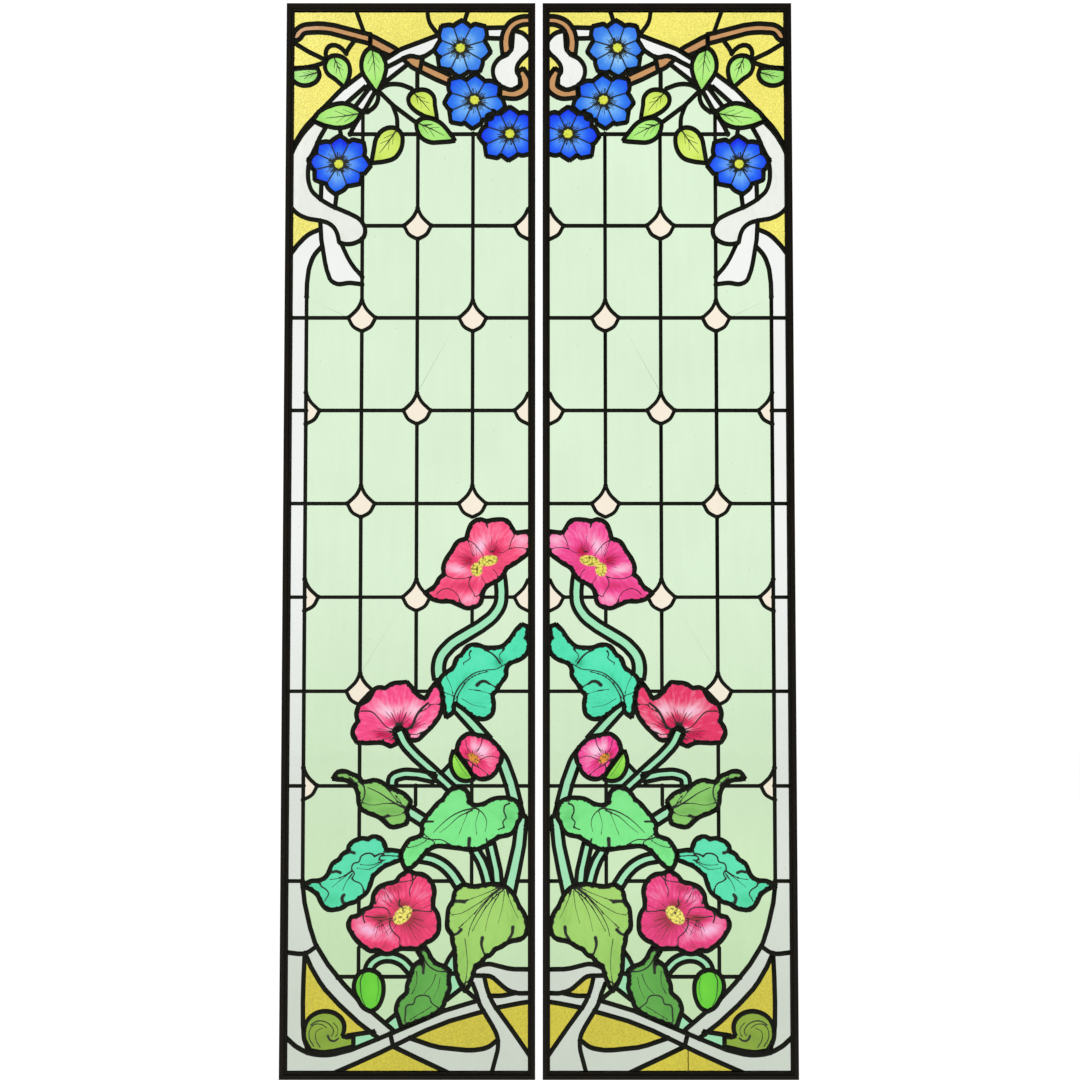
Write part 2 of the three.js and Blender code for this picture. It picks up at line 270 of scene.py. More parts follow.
shaped = {
    "leaf_border": [
        (12, 1919), (32, 1922), (56, 1922), (59, 1912), (55, 1903), (48, 1898), (32, 1895),
        (19, 1900), (12, 1909)],
    "leaf_by_branch": [
        (93, 1946), (103, 1944), (113, 1936), (117, 1926), (116, 1909), (110, 1893), (96, 1906),
        (80, 1919), (77, 1932), (83, 1943)],
    "leaf_on_ribbon": [
        (163, 1962), (173, 1957), (183, 1943), (187, 1930), (184, 1909), (173, 1882), (160, 1900),
        (148, 1922), (149, 1944), (156, 1957)],
    "leaf_under_ribbon": [
        (56, 1824), (64, 1836), (83, 1847), (112, 1852), (128, 1846), (140, 1838), (131, 1824),
        (109, 1813), (80, 1815)],
    "leaf_lime_high": [
        (238, 1866), (244, 1875), (256, 1879), (270, 1877), (279, 1868), (281, 1852),
        (285, 1829), (264, 1836), (246, 1848), (239, 1857)],
    "leaf_by_clematis": [
        (253, 1817), (262, 1823), (276, 1823), (292, 1816), (306, 1802), (318, 1786), (298, 1784),
        (274, 1785), (262, 1792), (255, 1804)],
    "leaf_lime_low": [
        (176, 1786), (182, 1796), (194, 1804), (208, 1804), (217, 1796), (219, 1780), (214, 1763),
        (206, 1753), (190, 1747), (168, 1744), (172, 1764)],
    "poppy_high": [
        (355, 1032), (359, 1041), (374, 1049), (384, 1046), (398, 1048), (410, 1049), (422, 1047),
        (430, 1036), (437, 1024), (448, 1024), (464, 1026), (466, 1010), (464, 996), (442, 975),
        (420, 960), (412, 945), (406, 940), (387, 930), (379, 922), (374, 908), (371, 895),
        (362, 889), (350, 887), (336, 892), (317, 900), (300, 900), (283, 905), (275, 912),
        (291, 924), (299, 938), (308, 948), (307, 960), (312, 975), (323, 991), (333, 1007),
        (350, 1013)],
    "poppy_side": [
        (149, 699), (160, 712), (170, 722), (182, 730), (196, 729), (206, 736), (234, 740),
        (242, 731), (250, 720), (269, 708), (277, 716), (283, 728), (289, 736), (295, 730),
        (299, 714), (299, 700), (296, 686), (282, 664), (268, 650), (251, 637), (243, 638),
        (235, 654), (224, 662), (213, 659), (208, 649), (212, 639), (214, 630), (205, 626),
        (192, 632), (175, 633), (160, 632), (144, 633), (137, 646), (139, 657), (146, 668),
        (144, 684)],
    "poppy_bud": [
        (355, 643), (368, 640), (381, 638), (400, 625), (411, 609), (410, 595), (406, 588),
        (400, 575), (391, 567), (378, 564), (364, 570), (356, 583), (344, 600), (335, 612),
        (335, 624), (343, 637)],
    "bud_sepal": [
        (325, 609), (332, 600), (341, 588), (350, 576), (358, 563), (348, 561), (336, 564),
        (326, 576), (322, 592)],
    "poppy_low": [
        (131, 291), (135, 299), (146, 302), (156, 312), (170, 318), (176, 330), (178, 344),
        (186, 355), (200, 361), (218, 366), (226, 376), (240, 385), (252, 380), (264, 379),
        (276, 371), (285, 352), (283, 335), (283, 320), (291, 307), (294, 290), (292, 274),
        (282, 263), (270, 257), (262, 249), (240, 247), (224, 247), (206, 238), (194, 238),
        (186, 244), (170, 243), (160, 249), (148, 259), (138, 272)],
    "leaf_teal_high": [
        (299, 744), (304, 752), (314, 760), (326, 770), (332, 786), (342, 794), (352, 808),
        (366, 811), (381, 806), (398, 805), (416, 808), (432, 822), (446, 842), (453, 849),
        (461, 846), (460, 836), (457, 828), (462, 820), (462, 808), (456, 796), (444, 788),
        (432, 784), (426, 780), (420, 770), (419, 756), (410, 744), (402, 730), (394, 720),
        (396, 704), (391, 682), (384, 678), (371, 678), (356, 686), (344, 696), (334, 703),
        (326, 707), (321, 703), (320, 689), (312, 682), (309, 698), (307, 714), (304, 728)],
    "leaf_olive": [
        (102, 564), (108, 571), (118, 572), (130, 567), (142, 562), (150, 552), (160, 552),
        (172, 555), (186, 552), (196, 545), (210, 538), (230, 529), (240, 518), (236, 508),
        (232, 500), (235, 490), (233, 480), (222, 476), (206, 475), (197, 483), (186, 492),
        (166, 500), (152, 507), (149, 518), (148, 532), (141, 549), (125, 561)],
    "leaf_bright": [
        (278, 491), (286, 500), (296, 512), (307, 521), (316, 534), (328, 541), (341, 540),
        (349, 530), (350, 514), (365, 508), (382, 511), (400, 520), (415, 522), (429, 521),
        (443, 513), (447, 500), (446, 488), (441, 480), (436, 466), (428, 460), (410, 456),
        (396, 448), (386, 440), (372, 434), (354, 432), (334, 435), (310, 438), (290, 438),
        (274, 430), (258, 412), (246, 400), (237, 395), (231, 408), (230, 422), (236, 434),
        (244, 444), (256, 448), (264, 452), (269, 464), (268, 476), (274, 484)],
    "leaf_teal_low": [
        (48, 362), (58, 366), (72, 367), (82, 371), (92, 382), (96, 392), (100, 400), (112, 408),
        (117, 416), (130, 424), (131, 434), (142, 443), (152, 446), (164, 445), (172, 449),
        (184, 447), (192, 436), (194, 424), (206, 424), (221, 422), (221, 412), (206, 406),
        (192, 400), (182, 392), (170, 380), (165, 364), (158, 350), (148, 342), (138, 334),
        (124, 330), (116, 324), (102, 320), (90, 320), (80, 330), (72, 346), (60, 356)],
    "leaf_veined": [
        (330, 347), (336, 355), (344, 359), (358, 356), (374, 357), (392, 360), (406, 360),
        (420, 356), (428, 350), (438, 336), (444, 322), (454, 307), (459, 290), (457, 272),
        (448, 264), (436, 262), (424, 258), (412, 250), (402, 246), (390, 234), (382, 231),
        (376, 222), (364, 214), (358, 196), (352, 180), (347, 170), (340, 182), (333, 202),
        (331, 224), (330, 244), (326, 259), (325, 270), (317, 282), (317, 301), (319, 318),
        (327, 332)],
    "leaf_dark": [
        (262, 238), (270, 242), (274, 236), (280, 224), (292, 212), (308, 206), (315, 200),
        (312, 186), (314, 170), (308, 156), (302, 138), (294, 130), (278, 120), (252, 110),
        (230, 101), (226, 114), (221, 130), (226, 146), (240, 160), (242, 176), (248, 192),
        (254, 210), (262, 216), (266, 210), (270, 222)],
    "seed_pod": [
        (166, 200), (179, 196), (188, 183), (190, 168), (187, 150), (179, 136), (170, 131),
        (160, 136), (150, 150), (143, 165), (143, 180), (150, 194)],
    "curled_frond": [
        (60, 58), (50, 76), (50, 96), (58, 112), (72, 121), (90, 123), (106, 117), (116, 104),
        (116, 90), (112, 80), (122, 76), (134, 76), (134, 65), (120, 62), (100, 57), (80, 55)],
    "ribbon_outer": [
        (54, 1816), (70, 1808), (62, 1794), (52, 1770), (42, 1748), (38, 1722), (40, 1700),
        (46, 1684), (58, 1671), (76, 1658), (100, 1646), (124, 1636), (140, 1626), (148, 1612),
        (146, 1598), (136, 1590), (116, 1586), (106, 1588), (103, 1602), (96, 1616), (84, 1626),
        (64, 1632), (42, 1636), (24, 1645), (14, 1656), (13, 1700), (13, 1753), (24, 1778),
        (38, 1799)],
    "ribbon_knot": [
        (439, 1994), (450, 1991), (462, 1980), (467, 1970), (462, 1958), (448, 1944), (440, 1932),
        (438, 1919), (444, 1906), (444, 1893), (434, 1887), (420, 1890), (408, 1898),
        (401, 1912), (401, 1926), (410, 1940), (426, 1949), (436, 1962), (438, 1980)],
    "branch_long": [
        (14, 1983), (18, 1995), (28, 2004), (48, 2008), (80, 2007), (118, 1998), (156, 1988),
        (156, 1978), (118, 1988), (80, 1998), (48, 1999), (30, 1996), (20, 1984)],
    "branch_short": [
        (164, 1984), (184, 1974), (208, 1960), (198, 1954), (180, 1962), (164, 1968)],
}

# Strips of stem and twig: kind of glass, centre-line, width, and width at the other end
strips = [
    ("brown", [(423, 1956), (421, 1976), (425, 1996), (436, 2011), (452, 2018), (472, 2019)], 11, 9),
    ("brown", [(449, 1917), (458, 1903), (459, 1888), (446, 1877), (414, 1877)], 12, 13),
    ("mint", [
        (409, 956), (413, 930), (414, 910), (412, 892), (400, 871), (378, 852), (346, 833), (315, 811),
        (299, 790), (295, 766), (297, 752)], 12, 15),
    ("mint", [
        (221, 650), (232, 628), (250, 607), (270, 589), (290, 571), (306, 556), (318, 545)], 11, 9),
    ("mint", [(208, 550), (210, 562), (224, 569), (250, 570), (286, 563)], 9, 9),
    ("mint", [(240, 500), (254, 491), (268, 482)], 13, 13),
    ("mint", [(365, 426), (376, 408), (384, 388), (390, 364)], 9, 10),
    ("mint", [(394, 436), (400, 412), (405, 388), (407, 366)], 9, 10),
    ("mint", [(262, 414), (284, 410), (304, 400), (321, 384), (335, 363)], 10, 12),
    ("mint", [(165, 198), (170, 213), (183, 224), (203, 228), (228, 220), (245, 203)], 9, 9),
    ("mint", [(323, 702), (352, 672), (372, 650), (385, 634)], 9, 14),
    ("mint", [(404, 612), (415, 597), (424, 576), (432, 552), (441, 515)], 12, 14),
    ("mint", [(453, 488), (451, 470), (448, 440), (440, 400), (429, 352)], 11, 16),
]

# Other leads of the ornament, by their centre-lines
leadLines = [
    # head
    [(10, 1762), (22, 1788), (38, 1812), (56, 1832), (80, 1856), (106, 1884), (128, 1901), (146, 1915)],
    [(190, 1943), (221, 1963), (250, 1974), (288, 1989)],
    [(190, 1926), (210, 1936), (224, 1944), (237, 1949), (256, 1946), (286, 1962)],
    [(187, 1896), (208, 1912), (229, 1930)],
    [(112, 1854), (131, 1871), (152, 1890)],
    [(132, 1850), (158, 1885)],
    [(149, 1841), (168, 1876)],
    [(174, 1882), (176, 1866), (170, 1851), (154, 1838)],
    [(131, 2042), (141, 2016), (147, 1998)],
    [(269, 2042), (274, 2015), (290, 1992)],
    [(349, 2042), (342, 2019)],
    [(350, 2007), (384, 2004), (424, 2005)],
    [(8, 1978), (42, 1957), (77, 1940)],
    [(8, 1925), (35, 1926), (64, 1933), (80, 1940)],
    [(76, 1942), (75, 1958), (81, 1968), (93, 1970), (106, 1963), (114, 1954)],
    [(112, 1952), (120, 1966), (132, 1982)],
    [(160, 1994), (160, 1966)],
    [(226, 1940), (240, 1927), (256, 1919), (280, 1906), (312, 1892)],
    [(262, 1946), (258, 1932), (256, 1918)],
    [(259, 1937), (282, 1927), (312, 1912)],
    [(175, 1882), (192, 1892), (218, 1893), (240, 1885)],
    [(175, 1882), (205, 1852), (250, 1818)],
    [(203, 1854), (212, 1828), (213, 1806)],
    [(251, 1920), (251, 1884)],
    [(384, 1984), (418, 1983)],
    [(102, 1809), (105, 1793)],
    [(143, 1834), (132, 1816), (122, 1796)],
    # ribbon, tail and yellow corner at the outer edge
    [(8, 1560), (26, 1584), (46, 1602), (66, 1611)],
    [
        (66, 1632), (67, 1604), (70, 1578), (75, 1550), (81, 1526), (88, 1511), (99, 1505),
        (122, 1507), (148, 1504)],
    [(106, 1584), (116, 1562), (129, 1540), (148, 1518)],
    [(69, 1577), (56, 1562), (46, 1538), (42, 1512), (41, 1478)],
    [(68, 1706), (67, 1668)],
    [(98, 1686), (94, 1652)],
    # stems
    [(300, 571), (320, 592)],
    [(415, 604), (432, 575), (441, 547), (449, 520), (456, 495), (462, 466)],
    # foot
    [
        (41, 364), (44, 335), (51, 301), (58, 275), (67, 250), (80, 228), (96, 205), (117, 180),
        (138, 157), (165, 132), (192, 110), (212, 92)],
    [(46, 236), (55, 215), (64, 198), (84, 168), (106, 144), (130, 122), (152, 102), (184, 78)],
    [(8, 237), (50, 236), (68, 248)],
    [(46, 236), (44, 190), (43, 140), (44, 96), (53, 52)],
    [
        (8, 82), (32, 61), (58, 49), (85, 46), (128, 54), (179, 74), (205, 85), (250, 103),
        (307, 128), (371, 147)],
    [(100, 12), (160, 38), (208, 60), (246, 79), (288, 98), (330, 113), (378, 126)],
    [(242, 78), (270, 68), (300, 60), (335, 56), (370, 56), (390, 61), (405, 72)],
    [(212, 62), (245, 46), (280, 30), (322, 10)],
    [(206, 88), (213, 60)],
    [
        (360, 180), (368, 160), (374, 140), (386, 120), (398, 100), (407, 80), (408, 58),
        (402, 35), (396, 10)],
    [(382, 194), (388, 168), (399, 142), (414, 120), (432, 96), (450, 71), (468, 44)],
    [(352, 196), (364, 206), (378, 213), (392, 215), (408, 211), (432, 206), (468, 205)],
    [(356, 194), (378, 193), (394, 192), (410, 180), (426, 167), (444, 161), (468, 161)],
    [(390, 156), (414, 156), (440, 161)],
    [(402, 133), (430, 139), (468, 145)],
    [(312, 148), (340, 170)],
    [(348, 166), (372, 146)],
    [(308, 210), (316, 226), (326, 240)],
    [(316, 196), (330, 198)],
    [(198, 106), (222, 126)],
    [(126, 82), (150, 85), (178, 90)],
]

# The lattice of quarries
lattice = {
    "columns": (41.0, 146.8, 252.6, 358.4, 464.2),
    "firstRow": 1796.0,
    "pitch": 178.3,
    "reach": 26.0,
    "rise": 34.0,
    "drop": 26.0,
}
columnStretches = [
    (0, 1480, 358), (1, 1842, 1742), (1, 1720, 1473), (1, 1413, 1117), (1, 1056, 760),
    (1, 628, 562), (1, 505, 452), (1, 336, 300), (1, 245, 196), (2, 1800, 1651),
    (2, 1591, 1295), (2, 1234, 938), (2, 878, 722), (2, 548, 512), (3, 1796, 1473),
    (3, 1413, 1117), (3, 888, 840), (3, 562, 508), (3, 437, 358),
]
rowStretches = [
    (0, 120, 172), (0, 219, 256), (0, 312, 376), (1, 148, 227), (1, 278, 438), (2, 8, 121),
    (2, 172, 333), (2, 384, 470), (3, 8, 41), (3, 66, 227), (3, 278, 438), (4, 8, 121),
    (4, 172, 333), (4, 384, 470), (5, 8, 41), (5, 66, 227), (5, 374, 404), (5, 422, 438),
    (6, 8, 121), (6, 250, 274), (6, 404, 470), (7, 8, 41), (7, 66, 142), (7, 198, 310),
    (7, 322, 434), (7, 446, 470), (8, 8, 41), (8, 286, 332), (8, 442, 470), (9, 110, 142),
    (9, 190, 244),
]
diamonds = [
    (2, 1, "both"), (4, 1, "left"), (1, 2, "both"), (3, 2, "both"), (0, 3, "right"),
    (2, 3, "both"), (4, 3, "left"), (1, 4, "both"), (3, 4, "both"), (0, 5, "right"),
    (2, 5, "both"), (4, 5, "left"), (1, 6, "both"), (0, 7, "right"),
]


def rowAt(index):
    return lattice["firstRow"] - index * lattice["pitch"]


def diamondSides(column, row, sides):
    x, z = lattice["columns"][column], rowAt(row)
    reach, rise, drop = lattice["reach"], lattice["rise"], lattice["drop"]
    made = []
    for name, sign in (("right", 1), ("left", -1)):
        if sides in (name, "both"):
            upper = [(0, rise), (0.28 * reach, 0.56 * rise), (reach, 0)]
            lower = [(reach, 0), (0.64 * reach, -0.64 * drop), (0, -drop)]
            for side in (upper, lower):
                made.append([(x + sign * over, z + up) for over, up in side])
    return made


# Which glass each cell of the ground holds, by a point in it; the rest is pale green
seeds = {
    "yellow": [
        (60, 2025), (200, 2015), (310, 2020), (400, 2025), (450, 2004), (458, 1931), (60, 1982),
        (28, 1948), (93, 1960), (138, 1954), (131, 1925), (32, 1858), (64, 1915), (30, 1610),
        (60, 165), (138, 98), (210, 36), (330, 90), (450, 110), (402, 170), (122, 1945),
    ],
    "white": [
        (118, 1880), (156, 1868), (210, 1922), (240, 1962), (402, 1993), (30, 1560), (25, 1520),
        (90, 1540), (120, 155), (80, 211), (300, 118), (96, 32), (352, 40), (432, 48),
        (377, 160), (416, 198), (440, 151), (25, 1350), (25, 1170), (25, 990), (25, 820),
        (25, 640), (25, 460), (25, 300), (28, 160), (82, 1677),
    ],
    "mint": [(316, 571), (317, 214), (325, 172), (213, 108), (155, 76)],
    "brown": [(245, 1936), (282, 1916)],
}
print("stage: cartoon read")

# Smooth outlines of the shaped glass; its lead runs just outside the edge that shows
cameSizes = {
    "latticeFace": 6.9,
    "ornamentFace": 8.3,
    "depth": 7.0,
    "flange": 1.2,
    "heart": 1.4,
    "underFlange": 2.6,
}
cutting = {  # how far leads and cells run over shaped glass and strips
    "showing": 0.2,
    "lineOver": 0.6,
    "stripOver": 0.8,
    "cellOver": 0.4,
    "smallestCell": 25.0,
    "largestDiamond": 4000.0,
}
edges = {name: outlineOf(points) for name, points in shaped.items()}
for name in petals:
    edges[name] = outlineOf(flowerEdge(name), 4.0, 40.0)
leadOffset = cameSizes["ornamentFace"] / 2 - cutting["showing"]
lineOffset = leadOffset - cutting["lineOver"]


def clearOf(line, closed, rings):
    # the stretches of a line that lie outside some outlines
    fine = [line[0]]
    for a, b in zip(line, line[1:]):
        count = max(1, math.ceil((b - a).length / 3.0))
        fine += [a.lerp(b, i / count) for i in range(1, count + 1)]
    points = arrayOf(fine)
    hidden = np.zeros(len(fine), bool)
    for ring in rings:
        hidden |= insideOf(points, ring)
    if not hidden.any():
        return [(line, closed)]
    if closed:
        first = int(hidden.argmax())
        fine = fine[first:-1] + fine[:first + 1]
        hidden = np.concatenate([hidden[first:-1], hidden[:first + 1]])
    runs, run = [], []
    for p, covers in zip(fine + [fine[-1]], list(hidden) + [True]):
        if not covers:
            run.append(p)
            continue
        if len(run) > 2:
            runs.append((run, False))
        run = []
    return runs


ornament = []
for name, edge in edges.items():
    ring = grown(edge, leadOffset)
    ornament.append((ring + ring[:1], True))
shapes = [grown(edge, lineOffset) for edge in edges.values()]
stripRings = []
for kind, centreLine, width, endWidth in strips:
    ring = grown(outlineOf(band(centreLine, width, endWidth), 5.0, 60.0), lineOffset)
    stripRings.append((kind, ring))
    ornament += clearOf(ring + ring[:1], True, shapes)
shapes += [grown(ring, -cutting["stripOver"]) for kind, ring in stripRings]
for line in leadLines:
    ornament += clearOf(joinedUp(smoothed(line, 6.0, 80.0)), False, shapes)
straight = []
for column, top, foot in columnStretches:
    x = lattice["columns"][column]
    straight += clearOf([Vector((x, top)), Vector((x, foot))], False, shapes)
for row, left, right in rowStretches:
    z = rowAt(row)
    straight += clearOf([Vector((left, z)), Vector((right, z))], False, shapes)
for column, row, sides in diamonds:
    for side in diamondSides(column, row, sides):
        straight.append((curved(side, 5.0), False))

# The panel runs a little way under the frame
panel = {
    "left": leafSizes["sightLeft"] - leafSizes["underFrame"],
    "right": leafSizes["sightRight"] + leafSizes["underFrame"],
    "foot": leafSizes["sightFoot"] - leafSizes["underFrame"],
    "top": leafSizes["sightTop"] + leafSizes["underFrame"],
}
panelCorners = [
    Vector((panel[side], panel[end]))
    for side, end in (("left", "foot"), ("right", "foot"), ("right", "top"), ("left", "top"))]


def held(line):
    # a line kept inside the panel
    return [
        Vector((min(max(p.x, panel["left"]), panel["right"]),
                min(max(p.y, panel["foot"]), panel["top"])))
        for p in line]


def metUp(lines, reach=9.0):
    # the loose ends of the lines carried on to the nearest other line or to the panel's edge
    pools = [segmentsOf(line) for line, closed in lines] + [segmentsOf(panelCorners, True)]
    owner = np.concatenate([np.full(len(pool), i) for i, pool in enumerate(pools)])
    every = np.array([s for pool in pools for s in pool])
    made = []
    for index, (line, closed) in enumerate(lines):
        line = [p.copy() for p in line]
        if not closed:
            others = every[owner != index]
            for end in (0, -1):
                here = line[end]
                away, along = distanceTo(np.array([[here.x, here.y]]), others)
                best = int(away[0].argmin())
                if 0.02 < away[0][best] < reach:
                    a, b = others[best]
                    to = Vector(a + (b - a) * along[0][best])
                    to += (to - here).normalized() * 0.4
                    line.insert(0, to) if end == 0 else line.append(to)
        made.append((line, closed))
    return made


allLines = [(held(line), closed) for line, closed in ornament + straight]
allLines = metUp(allLines)
ornament, straight = allLines[:len(ornament)], allLines[len(ornament):]


def arrangement(lines):
    # every line cut where it meets another, and the triangles between them gathered into cells
    points, sides = [], []
    for line in [line for line, closed in lines] + [panelCorners + panelCorners[:1]]:
        start = len(points)
        points += [Vector((p.x, p.y)) for p in line]
        sides += [(start + i, start + i + 1) for i in range(len(line) - 1)]
    at, linked, faces, _, sources, _ = delaunay_2d_cdt(points, sides, [], 0, 1e-3, True)
    leads = {frozenset(e) for e, source in zip(linked, sources) if source}
    beside = {}
    for i, face in enumerate(faces):
        for a, b in sidesOf(face):
            beside.setdefault(frozenset((a, b)), []).append(i)
    group = [-1] * len(faces)
    cells = []
    for start in range(len(faces)):
        if group[start] >= 0:
            continue
        group[start] = len(cells)
        stack, cell = [start], []
        while stack:
            i = stack.pop()
            cell.append(faces[i])
            face = faces[i]
            for a, b in sidesOf(face):
                side = frozenset((a, b))
                if side in leads:
                    continue
                for j in beside[side]:
                    if group[j] < 0:
                        group[j] = group[start]
                        stack.append(j)
        cells.append(cell)
    ends = {}
    for side in leads:
        for i in side:
            ends[i] = ends.get(i, 0) + 1
    joints = [at[i] for i, count in ends.items() if count > 2]
    return at, cells, joints


at, cells, joints = arrangement(allLines)
corners = arrayOf(at)
triangles = np.array([face for cell in cells for face in cell])
cellOf = np.array([number for number, cell in enumerate(cells) for face in cell])
cornerA, cornerB, cornerC = (corners[triangles[:, i]] for i in range(3))


def turned(a, b, p):
    return (b[:, 0] - a[:, 0]) * (p[1] - a[:, 1]) - (b[:, 1] - a[:, 1]) * (p[0] - a[:, 0])


def cellAt(point):
    # the cell that a point of the cartoon lies in
    ways = np.stack([turned(a, b, point) for a, b in (
        (cornerA, cornerB), (cornerB, cornerC), (cornerC, cornerA))])
    found = np.nonzero((ways.min(0) >= 0) | (ways.max(0) <= 0))[0]
    return int(cellOf[found[0]]) if len(found) else -1


triangleSizes = np.abs(
    (cornerB[:, 0] - cornerA[:, 0]) * (cornerC[:, 1] - cornerA[:, 1])
    - (cornerB[:, 1] - cornerA[:, 1]) * (cornerC[:, 0] - cornerA[:, 0])) / 2
cellSizes = np.bincount(cellOf, triangleSizes, len(cells))
biggest = [
    int(np.nonzero(cellOf == number)[0][triangleSizes[cellOf == number].argmax()])
    for number in range(len(cells))]
middles = (cornerA + cornerB + cornerC)[biggest] / 3
covered = np.zeros(len(cells), bool)
for edge in edges.values():
    covered |= insideOf(middles, grown(edge, leadOffset - cutting["cellOver"]))
kinds = {
    number: None if covered[number] or cellSizes[number] < cutting["smallestCell"] else "pale"
    for number in range(len(cells))}
sown = [(point, kind, math.inf) for kind, points in seeds.items() for point in points]
for column, row, sides in diamonds:
    aside = {"both": 0, "right": 8, "left": -8}[sides]
    place = (lattice["columns"][column] + aside, rowAt(row))
    sown.append((place, "cream", cutting["largestDiamond"]))
for point, kind, most in sown:
    number = cellAt(point)
    if kinds.get(number) and cellSizes[number] < most:
        kinds[number] = kind
    else:
        print("no cell for", kind, point)
for kind, ring in stripRings:
    for number in np.nonzero(insideOf(middles, ring))[0]:
        if kinds[number]:
            kinds[number] = kind
print("stage: cells", len(cells), {k: list(kinds.values()).count(k) for k in set(kinds.values())})


# Shader parts
def feed(tree, node, values):
    # each input linked to a socket or set to a plain value
    for key, value in values.items():
        if isinstance(value, bpy.types.NodeSocket):
            tree.links.new(value, node.inputs[key])
        else:
            node.inputs[key].default_value = value


def nodeIn(tree, kind, inputs, **settings):
    made = tree.nodes.new(kind)
    for key, value in settings.items():
        setattr(made, key, value)
    feed(tree, made, inputs)
    return made


def groupOf(name, inputs, outputs):
    tree = bpy.data.node_groups.new(name, "ShaderNodeTree")
    kindsOf = {"value": "NodeSocketFloat", "colour": "NodeSocketColor", "vector": "NodeSocketVector"}
    for label, kind, value in inputs:
        socket = tree.interface.new_socket(label, in_out="INPUT", socket_type=kindsOf[kind])
        socket.default_value = value
    for label, kind in outputs:
        tree.interface.new_socket(label, in_out="OUTPUT", socket_type=kindsOf[kind])
    return tree, tree.nodes.new("NodeGroupInput"), tree.nodes.new("NodeGroupOutput")


def mathIn(tree, operation, a, b=0.0, clamp=False):
    made = nodeIn(tree, "ShaderNodeMath", {0: a, 1: b}, operation=operation, use_clamp=clamp)
    return made.outputs[0]


def mixIn(tree, factor, a, b):
    made = nodeIn(tree, "ShaderNodeMix", {0: factor, 6: a, 7: b}, data_type="RGBA")
    return made.outputs[2]


def rangeIn(tree, value, low, high, to=(0.0, 1.0), smooth=False):
    made = nodeIn(tree, "ShaderNodeMapRange", {0: value, 1: low, 2: high, 3: to[0], 4: to[1]})
    if smooth:
        made.interpolation_type = "SMOOTHSTEP"
    return made.outputs[0]


def noiseIn(tree, place, scale, detail=2.0, roughness=0.5):
    return nodeIn(tree, "ShaderNodeTexNoise", {
        "Vector": place, "Scale": scale, "Detail": detail, "Roughness": roughness}).outputs[0]


def swingOf(tree, noise, strength):
    # a noise about nought
    return mathIn(tree, "MULTIPLY", mathIn(tree, "SUBTRACT", noise, 0.5), strength)


def stretched(tree, vector, scale):
    return nodeIn(tree, "ShaderNodeMapping", {"Vector": vector, "Scale": scale}).outputs[0]


def bumpIn(tree, height, strength, distance):
    return nodeIn(tree, "ShaderNodeBump", {
        "Height": height, "Strength": strength, "Distance": distance}).outputs[0]


def brightened(tree, colour, level):
    made = nodeIn(tree, "ShaderNodeVectorMath", {0: colour}, operation="SCALE")
    tree.links.new(level, made.inputs["Scale"])
    return made.outputs[0]


def rgb(red, green, blue):
    # a colour given in 0 to 255, as the linear value that the shader takes
    made = []
    for part in (red, green, blue):
        share = part / 255
        made.append(share / 12.92 if share < 0.04045 else ((share + 0.055) / 1.055) ** 2.4)
    return (*made, 1.0)


def glassGroup():
    # light and dark in the sheet, its hammered or wavy face, and a colour that darkens towards the foot
    tree, given, out = groupOf(
        "oldGlass",
        [
            ("Place", "vector", (0, 0, 0)), ("Tint", "colour", (1, 1, 1, 1)),
            ("Foot", "colour", (1, 1, 1, 1)), ("Mottle", "value", 0.1), ("Hammer", "value", 0.0),
            ("Wave", "value", 0.3),
        ],
        [("Colour", "colour"), ("Roughness", "value"), ("Normal", "vector")],
    )
    place = given.outputs["Place"]
    height = nodeIn(tree, "ShaderNodeSeparateXYZ", {0: place}).outputs[2]
    low = rangeIn(tree, height, 0.05, 1.1, (1.0, 0.0), True)
    tint = mixIn(tree, low, given.outputs["Tint"], given.outputs["Foot"])
    cloud = noiseIn(tree, place, 7.0)
    drawn = noiseIn(tree, stretched(tree, place, (60.0, 60.0, 7.0)), 1.0, 3.0)
    grain = noiseIn(tree, place, 260.0)
    swing = mathIn(tree, "ADD", mathIn(tree, "SUBTRACT", cloud, 0.5), swingOf(tree, drawn, 0.5))
    fine = swingOf(tree, grain, given.outputs["Hammer"])
    total = mathIn(tree, "MULTIPLY", swing, given.outputs["Mottle"])
    bright = brightened(tree, tint, mathIn(tree, "ADD", mathIn(tree, "ADD", total, fine), 1.0))
    # small bubbles and specks
    specks = nodeIn(tree, "ShaderNodeTexVoronoi", {"Vector": place, "Scale": 24.0})
    speck = rangeIn(tree, specks.outputs["Distance"], 0.035, 0.055, (0.82, 1.0))
    ripple = noiseIn(tree, place, 38.0, 1.0)
    dents = nodeIn(tree, "ShaderNodeTexVoronoi", {"Vector": place, "Scale": 300.0},
                   feature="SMOOTH_F1")
    relief = mathIn(
        tree, "ADD", mathIn(tree, "MULTIPLY", ripple, given.outputs["Wave"]),
        mathIn(tree, "MULTIPLY", dents.outputs["Distance"], given.outputs["Hammer"]))
    feed(tree, out, {
        "Colour": brightened(tree, bright, speck),
        "Roughness": mathIn(tree, "ADD", mathIn(tree, "MULTIPLY", grain, 0.08), 0.04),
        "Normal": bumpIn(tree, relief, 0.35, 0.001),
    })
    return tree


